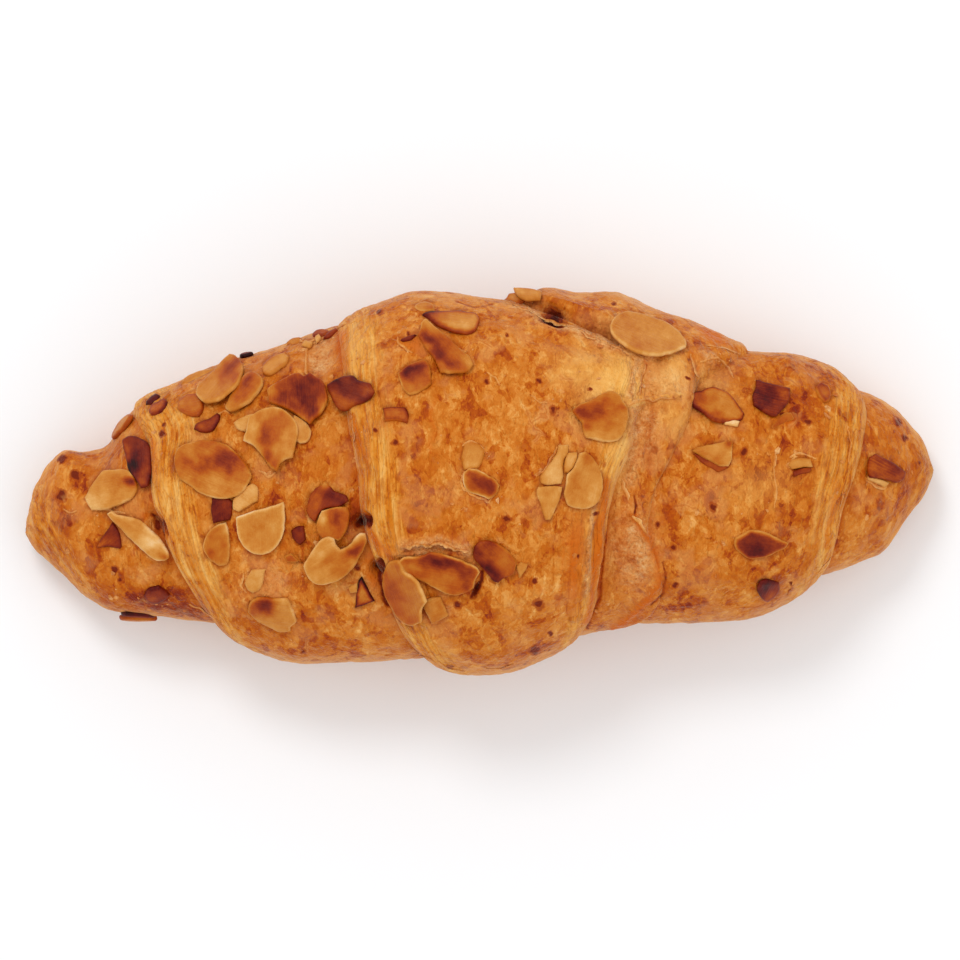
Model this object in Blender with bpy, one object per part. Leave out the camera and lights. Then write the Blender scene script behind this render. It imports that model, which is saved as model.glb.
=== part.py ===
"""An almond croissant: a rolled, baked crescent dough with flaked almonds baked onto its crust.

The dough is rolled from a triangle, so the outside shows nested turns. Each turn is a closed
barrel whose two ends follow slanting edges, and the barrels and the almonds are fused into one
solid. X runs from tip to tip, +Y is the back, -Y the front, and the flat underside is at Z = 0.
All sizes below are in millimetres. The mesh is made in metres.
"""
import math
import random

import bmesh
import bpy
import numpy as np
from mathutils import Vector, noise
from mathutils.bvhtree import BVHTree

MM = 0.001

# Dough
AROUND = 40                # points around each turn
WAIST = 0.44               # height of the widest line, as a share of the height
BELLY_SHARPNESS = 2.6      # squareness of the lower half of the section (2 is an ellipse)
TUCK = 1.6                 # how far a turn's end dives under its neighbour
TUCK_DEPTH = 3.5
STRIP_SPOTS = (0.0, 0.12, 0.27, 0.43, 0.62, 0.82, 1.0)   # loops across a laminated edge strip
STRIP_RIDGE = 0.22         # height of the layers that show along an edge strip
STRIP_LAYERS = 3.5         # how many of them cross the strip
LEAST_TURN = 4.0           # degrees between two points of an edge
BUMP_SIZE = 11.0           # blisters and dents of the crust
BUMP_HEIGHT = 0.45
END_BULGE = 0.3            # how far the middle of a turn's end stands out
UNDERSIDE_DROP = 2.0       # the most that the underside rises towards an edge
PLAIN_EDGE = 1.0           # width of the closely spaced rings at an edge without a strip
CORE_RINGS = 48
OUTER_RINGS = 34           # rings between the two edge strips of each turn
INNER_RINGS = 9
CENTRE_RINGS = 12

# How far each turn's surface falls to its left and right edge, each at the back and at the front,
# and the widths of its laminated strips.
OUTER_DROPS = ((2.6, 4.0), (1.7, 2.0))
OUTER_STRIPS = (7.5, 5.6)
INNER_DROPS = ((2.0, 2.0), (1.2, 1.8))
INNER_STRIPS = (3.0, 1.5)
CENTRE_DROPS = ((3.0, 4.6), (1.6, 5.6))
CENTRE_STRIPS = (7.0, 5.0)

# Flaked almonds
FLAKE_THICKNESS = 1.3
FLAKE_SUNK = 0.5
ROUND_POINTS = 12
SLICE_NARROWING = 0.22     # how much narrower a slice's pointed half is
HALF_CUT = -0.22           # where the straight side of a broken half lies, as a share of the length
HALF_STRETCH = 1.3
HALF_SHIFT = -0.1
OUTLINE_WOBBLE = 0.03
SEED = 7

BEYOND = 90.0              # a distance that lies outside the roll on every side
TRAY_SIZE = (300.0, 200.0, 50.0)
MERGE_DISTANCE = 0.01
CRUST_COLOUR = (0.56, 0.19, 0.04, 1)
CRUST_ROUGHNESS = 0.5

# Stations of each turn: place along X, back edge, front edge, top, underside.
CORE_STATIONS = (
    (-82.8, -8.0, -10.4, 8.0, 5.0), (-81.7, -3.0, -12.0, 11.5, 3.2), (-79.6, 1.4, -13.9, 14.5, 2.0),
    (-76.0, 4.8, -17.2, 18.5, 0.6), (-72.0, 4.8, -20.9, 21.5, -1.0), (-67.5, 6.6, -23.5, 23.5, -3.0),
    (-63.0, 12.4, -24.2, 26.0, -3.0), (-55.0, 14.4, -25.0, 28.0, -3.0), (-45.0, 17.0, -26.2, 31.0, -3.0),
    (-20.0, 24.0, -27.0, 35.0, -3.0), (20.0, 24.0, -22.0, 35.0, -3.0), (50.0, 18.0, -18.0, 30.0, -3.0),
    (63.0, 17.6, -17.0, 26.5, -3.0), (69.7, 16.0, -14.4, 23.5, -3.0), (74.0, 13.9, -12.2, 20.5, -2.0),
    (78.0, 10.6, -6.8, 16.0, 0.0), (81.0, 6.8, -2.9, 12.0, 2.0), (82.6, 3.0, 0.2, 8.0, 4.5),
)
OUTER_TURN_STATIONS = (
    (-64.0, 15.6, -23.6, 28.5, -3.0), (-56.0, 17.2, -26.8, 32.0, -3.0), (-50.0, 20.0, -28.9, 34.0, -3.0),
    (-41.0, 23.0, -31.4, 36.5, -3.0), (-33.0, 25.6, -33.4, 38.5, -3.0), (-24.0, 28.4, -33.2, 40.0, -3.0),
    (-11.0, 30.0, -32.2, 42.0, -3.0), (10.0, 30.0, -29.0, 40.0, -3.0), (28.0, 28.0, -25.8, 36.8, -3.0),
    (37.0, 26.2, -26.0, 36.8, -3.0), (45.0, 24.0, -25.5, 36.2, -3.0), (50.0, 23.4, -25.0, 35.2, -3.0),
    (57.0, 23.2, -21.8, 32.8, -3.0), (63.0, 21.4, -17.8, 30.2, -3.0), (70.0, 18.0, -14.2, 27.0, -3.0),
)
INNER_TURN_STATIONS = (
    (-8.0, 31.0, -30.0, 41.0, -3.0), (6.0, 32.6, -29.5, 41.0, -3.0), (11.0, 34.6, -28.6, 40.6, -3.0),
    (18.0, 34.0, -28.0, 39.6, -3.0), (25.0, 33.8, -27.0, 38.4, -3.0), (31.0, 31.6, -26.8, 38.0, -3.0),
    (37.0, 29.4, -26.2, 38.2, -3.0), (43.0, 26.8, -25.8, 37.8, -3.0), (49.5, 24.0, -25.0, 36.6, -3.0),
)
CENTRE_TURN_STATIONS = (
    (-28.0, 28.8, -32.8, 43.0, -3.0), (-20.0, 31.8, -34.2, 45.6, -3.0), (-11.0, 34.2, -35.4, 47.0, -3.0),
    (-3.0, 33.4, -35.5, 47.4, -3.0), (5.0, 32.6, -34.8, 47.2, -3.0), (11.0, 32.0, -32.6, 46.6, -3.0),
    (19.0, 30.6, -29.4, 45.4, -3.0), (31.0, 27.6, -27.0, 43.4, -3.0),
)

# Plan points (X, Y) of the slanting edges, from the back over the top to the front.
EDGE_FAR_LEFT = (
    (-62.8, 12.9), (-61.5, 10.5), (-59.7, 7.0), (-59.3, 2.5), (-59.0, -3.0), (-57.8, -8.0),
    (-55.5, -13.5), (-53.0, -18.0), (-49.7, -22.8), (-46.1, -26.8),
)
EDGE_MID_LEFT = (
    (-26.2, 28.4), (-24.4, 19.8), (-23.5, 10.7), (-21.7, 1.6), (-21.0, -7.4), (-18.4, -15.6),
    (-16.4, -21.9), (-12.6, -28.3), (-7.2, -33.7),
)
EDGE_MID_RIGHT = (
    (5.0, 31.0), (12.0, 29.4), (21.8, 25.2), (28.4, 21.9), (29.8, 18.4), (27.8, 12.1), (26.4, 6.0),
    (24.0, -0.2), (22.7, -5.6), (22.2, -12.0), (21.3, -20.1), (19.4, -25.0),
)
EDGE_INNER_RIGHT = (
    (48.5, 22.6), (44.5, 21.6), (39.4, 18.0), (37.8, 13.0), (34.5, 4.5), (31.0, -3.8), (30.5, -9.2),
    (32.2, -15.6), (32.8, -20.1), (29.6, -24.1), (22.5, -27.0),
)
EDGE_FAR_RIGHT = (
    (66.2, 18.3), (69.5, 14.3), (69.2, 10.7), (68.6, 6.9), (67.8, 2.9), (66.6, -1.4), (65.4, -5.5),
    (64.8, -9.5), (63.8, -13.5), (61.7, -17.4),
)
HIDDEN_END = ((-6.0, 28.5), (0.0, 0.0), (8.0, -26.0))

# Almonds seen from above: kind, X, Y, length, width, turn in degrees, lift over what it covers.
ALMONDS = (
    ("slice", -62.8, 4.2, 9.6, 5.4, 112, 0.0), ("stub", -67.3, -1.8, 9.4, 6.4, 18, 0.3),
    ("sliver", -61.6, -10.4, 15.0, 3.6, -38, 0.9), ("wedge", -67.3, -10.9, 5.4, 4.4, 10, 0.0),
    ("chip", -58.4, -21.0, 5.0, 3.6, -20, 0.0), ("slice", -52.7, 13.6, 4.8, 4.0, -14, 0.0),
    ("slice", -47.4, 18.7, 10.8, 6.0, 50, 0.2), ("slice", -42.6, 16.2, 9.2, 4.2, 45, 0.0),
    ("slice", -37.2, 21.3, 6.2, 2.6, 38, 0.0), ("wedge", -49.4, 10.5, 4.9, 2.8, 35, 0.0),
    ("slice", -48.5, 2.4, 14.6, 10.2, -28, 0.2), ("slice", -31.9, 9.4, 5.2, 3.8, 80, 0.2),
    ("shield", -38.1, 8.2, 10.6, 10.0, 80, 0.9), ("slice", -33.1, 15.2, 11.0, 8.8, 10, 0.4),
    ("chip", -23.6, 15.8, 8.2, 6.2, -15, 0.2), ("chip", -46.8, -5.6, 4.8, 4.0, 80, 0.0),
    ("chip", -42.4, -3.2, 4.6, 4.0, 15, 0.0), ("half", -39.9, -9.0, 8.8, 8.6, -74, 0.3),
    ("half", -47.6, -11.8, 7.6, 4.8, 172, 0.0), ("chip", -33.1, -10.0, 3.4, 3.0, 25, 0.0),
    ("chip", -28.3, -3.6, 7.4, 5.6, -30, 0.0), ("stub", -26.3, -8.2, 7.2, 6.2, 60, 0.3),
    ("comma", -27.0, -15.2, 11.4, 8.6, 30, 0.8), ("wedge", -20.9, -20.7, 5.6, 3.4, 100, 0.0),
    ("chip", -40.7, -17.9, 4.4, 3.4, 60, 0.0), ("chip", -37.7, -24.6, 8.6, 5.8, -15, 0.2),
    ("slice", -13.8, -20.8, 12.4, 6.6, 112, 0.2), ("slice", -7.3, -17.0, 15.0, 6.8, 168, 0.6),
    ("slice", 2.8, -14.6, 8.8, 6.0, -52, 0.2), ("chip", -8.2, -23.8, 4.6, 4.2, 20, 0.2),
    ("chip", 0.3, -0.6, 7.0, 4.4, -30, 0.0), ("chip", 13.9, 3.0, 7.6, 3.8, 62, 0.0),
    ("wedge", 12.8, -4.2, 6.0, 4.4, -95, 0.1), ("slice", 19.2, 0.2, 10.4, 6.8, 98, 0.2),
    ("shield", 22.2, 11.6, 9.6, 8.6, -15, 0.3), ("slice", -4.6, 28.9, 9.0, 4.4, -8, 0.0),
    ("stub", -6.2, 24.6, 12.6, 5.0, -50, 0.2), ("chip", -12.1, 19.0, 6.6, 5.6, 20, 0.2),
    ("chip", -15.3, 12.0, 4.8, 3.2, -5, 0.0), ("slice", 30.6, 27.0, 14.0, 8.6, -12, 0.5),
    ("slice", 43.1, 13.7, 9.6, 6.4, -18, 0.0), ("chip", 52.8, 15.2, 7.2, 5.4, -25, 0.1),
    ("chip", 42.4, 4.5, 7.4, 4.0, -8, 0.0), ("chip", 58.3, 2.4, 4.2, 2.4, 0, 0.0),
    ("slice", 50.8, -11.6, 10.2, 5.2, -6, 0.0), ("chip", 52.3, -20.5, 4.4, 4.0, 30, 0.0),
    ("chip", 73.8, 2.1, 7.0, 5.2, -15, 0.0), ("chip", 62.1, 16.2, 3.4, 2.8, 60, 0.0),
    ("chip", -58.8, 14.4, 3.2, 2.4, 30, 0.0), ("chip", -27.6, 26.4, 3.0, 2.2, 10, 0.0),
    ("slice", -51.1, 18.8, 6.6, 2.6, 22, 0.0), ("chip", -42.3, 10.5, 4.2, 3.0, 20, 0.0),
    ("chip", -1.4, 4.3, 4.8, 4.0, 80, 0.0), ("slice", -9.9, 31.4, 4.0, 1.8, 5, 0.0),
)
# Almonds seen edge-on at the sides: kind, X, height, side (1 is the back), length, width, turn.
SIDE_ALMONDS = (
    ("slice", -62.1, 11.0, -1, 7.0, 4.6, 5), ("slice", -64.6, 13.5, 1, 7.0, 4.6, 25),
    ("slice", -51.6, 17.0, 1, 6.2, 4.4, 15), ("chip", 7.8, 24.5, 1, 6.4, 5.2, 12),
)
# Outlines as shares of the length and width. Round ones are worked out in almond_outline.
CORNER_OUTLINES = {
    "chip": ((-0.5, -0.32), (-0.30, 0.5), (0.38, 0.42), (0.5, -0.22), (0.1, -0.5)),
    "wedge": ((-0.5, 0.08), (0.42, 0.5), (0.5, -0.5)),
    "stub": ((-0.5, -0.45), (-0.42, 0.36), (-0.1, 0.5), (0.36, 0.4), (0.5, 0.05), (0.32, -0.34),
             (-0.2, -0.5)),
    "sliver": ((-0.5, 0.2), (-0.3, 0.5), (0.2, 0.42), (0.5, 0.05), (0.44, -0.4), (0.0, -0.5),
               (-0.34, -0.2)),
    "shield": ((-0.5, 0.0), (-0.22, -0.38), (0.12, -0.5), (0.4, -0.32), (0.5, 0.05), (0.36, 0.4),
               (0.0, 0.5), (-0.2, 0.28), (-0.3, 0.34)),
    "comma": ((-0.42, -0.5), (0.0, -0.42), (0.34, -0.06), (0.5, 0.44), (0.4, 0.5), (0.12, 0.1),
              (-0.12, 0.02), (-0.16, 0.3), (-0.36, 0.22), (-0.5, -0.16)),
}


def smooth_curve(points):
    """A smooth function through (place, value) points, level past both ends."""
    places, values = np.array(points, float).T
    slopes = np.gradient(values, places)

    def value_at(place):
        place = np.clip(place, places[0], places[-1])
        i = int(np.clip(np.searchsorted(places, place) - 1, 0, len(places) - 2))
        span = places[i + 1] - places[i]
        t = (place - places[i]) / span
        start = values[i] * (1 + 2 * t) * (1 - t) ** 2 + slopes[i] * span * t * (1 - t) ** 2
        end = values[i + 1] * t * t * (3 - 2 * t) - slopes[i + 1] * span * t * t * (1 - t)
        return start + end

    return value_at


def edge_drop(drop, angle):
    """How far the surface falls to an edge, between its values at the back and at the front."""
    at_back, at_front = drop
    return at_back + (at_front - at_back) * (1 - math.cos(math.radians(angle))) / 2


class Turn:
    """One turn of the rolled dough, from its left edge to its right edge.

    drops holds, for each edge, how far the surface falls to it at the back and at the front.
    strips holds the width of the laminated strip along each edge.
    """

    def __init__(self, stations, left=(), right=(), drops=((0, 0), (0, 0)), strips=(0, 0)):
        columns = list(zip(*stations))
        self.back, self.front, self.top, self.low = (
            smooth_curve(list(zip(columns[0], values))) for values in columns[1:])
        self.drops = drops
        self.strips = strips
        self.left = self.edge(left, drops[0])
        self.right = self.edge(right, drops[1])

    def edge(self, plan_points, drop):
        """X of an edge against the angle around the section, closed across the underside."""
        if not plan_points:
            return None
        spots = []
        for x, y in plan_points:
            rough_angle = self.angle_at(x, y, sum(drop) / 2)
            angle = self.angle_at(x, y, edge_drop(drop, rough_angle))
            if spots:
                angle = max(angle, spots[-1][0] + LEAST_TURN)
            spots.append((angle, x))
        over = smooth_curve(spots)
        first, last = plan_points[0][0], plan_points[-1][0]

        def x_at(angle):
            if angle <= 180:
                return over(angle)
            share = 0.5 - 0.5 * math.cos(math.radians(angle - 180))
            return last + (first - last) * share

        return x_at

    def angle_at(self, x, y, inset):
        """The angle around the section, 0 at the back, of a point seen from above."""
        back, front = self.back(x) - inset, self.front(x) + inset
        across = (2 * y - back - front) / (back - front)
        return math.degrees(math.acos(max(-1.0, min(1.0, across))))

    def inset_at(self, angle, from_left, from_right):
        """How far the surface has sunk below the full section, near the two edges."""
        sunk = 0.0
        for gap, drop, strip in zip((from_left, from_right), self.drops, self.strips):
            if strip and gap < strip:
                share = 1 - max(gap, 0.0) / strip
                ridges = STRIP_RIDGE * math.sin(share * STRIP_LAYERS * math.tau)
                sunk += edge_drop(drop, angle) * (1 - math.sqrt(1 - share * share))
                sunk += ridges * share * (1 - share) * 4
                sunk += TUCK_DEPTH * min(1.0, max(0.0, -gap / TUCK))
        return sunk

    def point(self, x, angle, inset):
        """A point of the section at x, in millimetres."""
        back, front, top, low = self.back(x), self.front(x), self.top(x), self.low(x)
        middle, half = (back + front) / 2, (back - front) / 2 - inset
        waist = max(low, 0) + WAIST * (top - max(low, 0))
        across, up = math.cos(math.radians(angle)), math.sin(math.radians(angle))
        if up < 0:
            power = 2 / BELLY_SHARPNESS
            across = math.copysign(abs(across) ** power, across)
            up = -abs(up) ** power
        reach = top - inset - waist if up > 0 else waist - low - min(inset, UNDERSIDE_DROP)
        here = Vector((x, middle + half * across, waist + reach * up))
        lump = noise.noise(here / BUMP_SIZE) * BUMP_HEIGHT
        return here + Vector((0, across, up)) * lump


def core_rings(turn):
    """Rings of the core, from tip to tip, closer together at the tips."""
    first, last = CORE_STATIONS[0][0], CORE_STATIONS[-1][0]
    rings = []
    for i in range(CORE_RINGS + 1):
        x = first + (last - first) * (0.5 - 0.5 * math.cos(math.pi * i / CORE_RINGS))
        rings.append([turn.point(x, 360 * j / AROUND, 0.0) for j in range(AROUND)])
    return rings


def turn_rings(turn, inner_count):
    """Rings of a turn, which follow its two slanting edges and crowd at its edge strips."""
    left_strip, right_strip = (max(strip, PLAIN_EDGE) for strip in turn.strips)
    steps = [("left", -TUCK)] + [("left", share * left_strip) for share in STRIP_SPOTS]
    steps += [("inner", (i + 1) / (inner_count + 1)) for i in range(inner_count)]
    steps += [("right", share * right_strip) for share in reversed(STRIP_SPOTS)] + [("right", -TUCK)]
    rings = []
    for side, amount in steps:
        ring = []
        for j in range(AROUND):
            angle = 360 * j / AROUND
            left, right = turn.left(angle), turn.right(angle)
            inner_left, inner_right = left + left_strip, right - right_strip
            x = {"left": left + amount, "right": right - amount,
                 "inner": inner_left + (inner_right - inner_left) * amount}[side]
            ring.append(turn.point(x, angle, turn.inset_at(angle, x - left, right - x)))
        rings.append(ring)
    return rings


def add_closed_rings(name, rings, collection):
    """A closed solid through rings of points, with a fan of faces at each end."""
    mesh_data = bmesh.new()
    loops = [[mesh_data.verts.new(point * MM) for point in ring] for ring in rings]
    for loop, following in zip(loops, loops[1:]):
        for j in range(AROUND):
            k = (j + 1) % AROUND
            mesh_data.faces.new((loop[j], following[j], following[k], loop[k]))
    for loop, outward in ((loops[0], -1), (loops[-1], 1)):
        centre = sum((vert.co for vert in loop), Vector()) / AROUND
        pole = mesh_data.verts.new(centre + Vector((END_BULGE * MM * outward, 0, 0)))
        for j in range(AROUND):
            mesh_data.faces.new((loop[j], loop[(j + 1) % AROUND], pole))
    return finish_solid(name, mesh_data, collection)


def finish_solid(name, mesh_data, collection):
    bmesh.ops.triangulate(mesh_data, faces=mesh_data.faces)
    bmesh.ops.recalc_face_normals(mesh_data, faces=mesh_data.faces)
    mesh = bpy.data.meshes.new(name)
    mesh_data.to_mesh(mesh)
    mesh_data.free()
    solid = bpy.data.objects.new(name, mesh)
    collection.objects.link(solid)
    return solid


def almond_outline(kind, length, width, draw):
    """The outline of a flaked almond, a little different each time, in its own flat plane."""
    if kind in CORNER_OUTLINES:
        shares = [(u + draw.uniform(-OUTLINE_WOBBLE, OUTLINE_WOBBLE),
                   v + draw.uniform(-OUTLINE_WOBBLE, OUTLINE_WOBBLE)) for u, v in CORNER_OUTLINES[kind]]
    else:
        shares = []
        for i in range(ROUND_POINTS):
            turn = math.tau * i / ROUND_POINTS
            narrowing = 1 - SLICE_NARROWING * math.cos(turn) * (kind == "slice")
            u, v = 0.5 * math.cos(turn), 0.5 * math.sin(turn) * narrowing
            if kind == "half":
                u = max(u, HALF_CUT) * HALF_STRETCH + HALF_SHIFT
            shares.append((u, v))
    return [(u * length, v * width) for u, v in shares]


def add_almond(name, outline, centre, normal, turn_direction, lift, collection):
    """A flat piece with the given outline, sunk into the crust, whose top is lifted."""
    along = (turn_direction - normal * turn_direction.dot(normal)).normalized()
    across = normal.cross(along)
    mesh_data = bmesh.new()
    levels = (-FLAKE_SUNK, FLAKE_THICKNESS - FLAKE_SUNK + lift)
    rims = [[mesh_data.verts.new((centre + along * u + across * v + normal * level) * MM)
             for u, v in outline] for level in levels]
    lower, upper = rims
    mesh_data.faces.new(reversed(lower))
    mesh_data.faces.new(upper)
    for i in range(len(outline)):
        k = (i + 1) % len(outline)
        mesh_data.faces.new((lower[i], lower[k], upper[k], upper[i]))
    return finish_solid(name, mesh_data, collection)


def crust_tree(solids):
    """A search tree over the crust of all the turns, in millimetres."""
    points, faces = [], []
    for solid in solids:
        start = len(points)
        points += [vert.co / MM for vert in solid.data.vertices]
        faces += [[start + i for i in face.vertices] for face in solid.data.polygons]
    return BVHTree.FromPolygons(points, faces)


def crust_under(tree, x, y, spread):
    """The crust's height and mean slope under a plan point."""
    hits = []
    for dx, dy in ((0, 0), (spread, 0), (-spread, 0), (0, spread), (0, -spread)):
        place, normal, _, _ = tree.ray_cast(Vector((x + dx, y + dy, BEYOND)), Vector((0, 0, -1)))
        if place:
            hits.append((place, normal))
    slope = sum((normal for _, normal in hits), Vector()).normalized()
    return hits[0][0], slope


def add_almonds(tree, collection):
    draw = random.Random(SEED)
    for index, (kind, x, y, length, width, turn, lift) in enumerate(ALMONDS):
        place, slope = crust_under(tree, x, y, width * 0.25)
        heading = Vector((math.cos(math.radians(turn)), math.sin(math.radians(turn)), 0))
        outline = almond_outline(kind, length, width, draw)
        add_almond(f"almond_{index}", outline, place, slope, heading, lift, collection)
    for index, (kind, x, height, side, length, width, turn) in enumerate(SIDE_ALMONDS):
        place, slope, _, _ = tree.ray_cast(Vector((x, BEYOND * side, height)), Vector((0, -side, 0)))
        heading = Vector((math.cos(math.radians(turn)), 0, math.sin(math.radians(turn))))
        outline = almond_outline(kind, length, width, draw)
        add_almond(f"side_almond_{index}", outline, place, slope, heading, 0.0, collection)


def crust_material():
    material = bpy.data.materials.new("baked_crust")
    material.use_nodes = True
    shader = material.node_tree.nodes["Principled BSDF"]
    shader.inputs["Base Color"].default_value = CRUST_COLOUR
    shader.inputs["Roughness"].default_value = CRUST_ROUGHNESS
    material.diffuse_color = CRUST_COLOUR
    return material


def fuse(body, collection):
    """Fuse everything in the collection into the body, and remove the loose solids."""
    union = body.modifiers.new("fuse", "BOOLEAN")
    union.operation = "UNION"
    union.operand_type = "COLLECTION"
    union.collection = collection
    union.solver = "EXACT"
    replace_mesh_by_result(body)
    for solid in list(collection.objects):
        bpy.data.objects.remove(solid)
    bpy.data.collections.remove(collection)


def replace_mesh_by_result(body):
    bpy.context.view_layer.update()
    result = body.evaluated_get(bpy.context.evaluated_depsgraph_get())
    fused = bpy.data.meshes.new_from_object(result)
    body.modifiers.clear()
    body.data = fused


def press_flat(body):
    """Cut away what would lie below the tray, which leaves the flat underside."""
    bpy.ops.mesh.primitive_cube_add(size=1)
    tray = bpy.context.object
    tray.name = "tray_cutter"
    tray.scale = [side * MM for side in TRAY_SIZE]
    tray.location = (0, 0, -TRAY_SIZE[2] * MM / 2)
    cut = body.modifiers.new("flat_underside", "BOOLEAN")
    cut.operation = "DIFFERENCE"
    cut.object = tray
    cut.solver = "EXACT"
    replace_mesh_by_result(body)
    bpy.data.objects.remove(tray)


def keep_largest_piece(body):
    """Drop any scrap that the fusing left loose."""
    mesh_data = bmesh.new()
    mesh_data.from_mesh(body.data)
    bmesh.ops.remove_doubles(mesh_data, verts=mesh_data.verts, dist=MERGE_DISTANCE * MM)
    unseen, pieces = set(mesh_data.verts), []
    while unseen:
        piece, edge_of_search = set(), [unseen.pop()]
        while edge_of_search:
            vert = edge_of_search.pop()
            piece.add(vert)
            near = {edge.other_vert(vert) for edge in vert.link_edges} & unseen
            unseen -= near
            edge_of_search += near
        pieces.append(piece)
    pieces.sort(key=len)
    scraps = [vert for piece in pieces[:-1] for vert in piece]
    bmesh.ops.delete(mesh_data, geom=scraps, context="VERTS")
    bmesh.ops.triangulate(mesh_data, faces=mesh_data.faces)
    mesh_data.to_mesh(body.data)
    mesh_data.free()


def build_croissant():
    loose = bpy.data.collections.new("loose_pieces")
    bpy.context.scene.collection.children.link(loose)
    croissant_collection = bpy.data.collections.new("almond_croissant")
    bpy.context.scene.collection.children.link(croissant_collection)

    core = Turn(CORE_STATIONS)
    outer_turn = Turn(OUTER_TURN_STATIONS, EDGE_FAR_LEFT, EDGE_FAR_RIGHT, OUTER_DROPS, OUTER_STRIPS)
    inner_turn = Turn(INNER_TURN_STATIONS, HIDDEN_END, EDGE_INNER_RIGHT, INNER_DROPS, INNER_STRIPS)
    centre_turn = Turn(CENTRE_TURN_STATIONS, EDGE_MID_LEFT, EDGE_MID_RIGHT, CENTRE_DROPS, CENTRE_STRIPS)

    croissant = add_closed_rings("croissant", core_rings(core), croissant_collection)
    turns = [
        add_closed_rings("outer_turn", turn_rings(outer_turn, OUTER_RINGS), loose),
        add_closed_rings("inner_turn", turn_rings(inner_turn, INNER_RINGS), loose),
        add_closed_rings("centre_turn", turn_rings(centre_turn, CENTRE_RINGS), loose),
    ]
    add_almonds(crust_tree([croissant] + turns), loose)
    fuse(croissant, loose)
    press_flat(croissant)
    keep_largest_piece(croissant)
    croissant.data.materials.clear()
    croissant.data.materials.append(crust_material())


def main():
    for leftover in list(bpy.data.objects):
        bpy.data.objects.remove(leftover)
    build_croissant()


main()
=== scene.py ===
"""Looks of an almond croissant: layered, browned dough and toasted flaked almonds.

Sizes are in millimetres, as in the solid's construction, and MM turns them into metres. X runs
from tip to tip, +Y is the back, -Y the front, and the flat underside lies at Z = 0.
"""
import math

import bmesh
import bpy
import numpy as np
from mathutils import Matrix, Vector, geometry, noise
from mathutils.bvhtree import BVHTree


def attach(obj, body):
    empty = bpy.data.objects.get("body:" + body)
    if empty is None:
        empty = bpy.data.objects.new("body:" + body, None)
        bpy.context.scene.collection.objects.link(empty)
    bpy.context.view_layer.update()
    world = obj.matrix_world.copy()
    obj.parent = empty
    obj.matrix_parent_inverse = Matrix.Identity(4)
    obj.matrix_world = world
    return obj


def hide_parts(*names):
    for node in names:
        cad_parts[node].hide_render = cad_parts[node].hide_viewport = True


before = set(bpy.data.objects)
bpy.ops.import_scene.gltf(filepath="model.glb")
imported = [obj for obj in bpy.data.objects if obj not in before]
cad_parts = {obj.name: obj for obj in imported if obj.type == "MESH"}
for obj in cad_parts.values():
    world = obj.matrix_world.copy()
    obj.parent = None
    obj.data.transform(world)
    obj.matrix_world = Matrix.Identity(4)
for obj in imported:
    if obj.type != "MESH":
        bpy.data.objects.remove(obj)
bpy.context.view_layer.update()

MM = 0.001

# ---- picture grid and camera

PIXEL = 0.1812  # millimetres for one step of a picture grid of 960 steps
GRID_MIDDLE = (479.5, 479.0)
LINE_LEVEL = 38.0  # height at which the painted lines were measured
FLAKE_LEVEL = 30.0  # a first guess of the same for the almonds
ABOVE_ALL = 90.0  # a distance that lies outside the roll on every side
VIEW_DISTANCE = 2.0  # metres above the table, looking straight down
FRAME_WIDTH = 0.17395  # what the picture spans at the widest line of the roll, in metres
WIDEST_LINE = 0.018  # height of that line, in metres
SENSOR = 36.0

# ---- dough: shape

WAIST = 0.44  # height of the widest line, as a share of the height
BELLY_SHARPNESS = 2.6  # squareness of the lower half of the section (2 is an ellipse)
TUCK = 0.9  # how far a turn's end dives under its neighbour
TUCK_DEPTH = 3.5
OVERLAP = 5.0  # how far a turn runs on under the one that lies over it
UNDERSIDE_DROP = 2.0  # the most that the underside rises towards an edge
LEAST_TURN = 4.0  # degrees between two points of an edge
MEAN_RADIUS = 30.0  # turns an angle round the section into a length
BUMP_SIZE = 11.0  # broad blisters and dents of the crust
BUMP_HEIGHT = 0.45

# How far each turn falls to its left and its right edge, at the back and at the front, and how
# wide the layered strip along each of these edges is.
OUTER_DROPS = ((2.6, 4.0), (1.7, 2.0))
OUTER_STRIPS = (7.5, 5.6)
INNER_DROPS = ((0.0, 0.0), (1.2, 1.8))
INNER_STRIPS = (0.0, 1.5)
CENTRE_DROPS = ((3.0, 4.6), (1.6, 5.6))
CENTRE_STRIPS = (7.0, 5.0)

# Stations of each turn: place along X, back edge, front edge, top, underside.
CORE_STATIONS = (
    (-82.8, -8.0, -10.4, 8.0, 5.0), (-81.7, -3.0, -12.0, 11.5, 3.2), (-79.6, 1.4, -13.9, 14.5, 2.0),
    (-76.0, 4.8, -17.2, 18.5, 0.6), (-72.0, 4.8, -20.9, 21.5, -1.0), (-67.5, 6.6, -23.5, 23.5, -3.0),
    (-63.0, 12.4, -24.2, 26.0, -3.0), (-55.0, 14.4, -25.0, 28.0, -3.0), (-45.0, 17.0, -26.2, 31.0, -3.0),
    (-20.0, 24.0, -27.0, 35.0, -3.0), (20.0, 24.0, -22.0, 35.0, -3.0), (50.0, 18.0, -18.0, 30.0, -3.0),
    (63.0, 17.6, -17.0, 26.5, -3.0), (69.7, 16.0, -14.4, 23.5, -3.0), (74.0, 13.9, -12.2, 20.5, -2.0),
    (78.0, 10.6, -6.8, 16.0, 0.0), (81.0, 6.8, -2.9, 12.0, 2.0), (82.6, 3.0, 0.2, 8.0, 4.5),
)
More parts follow.
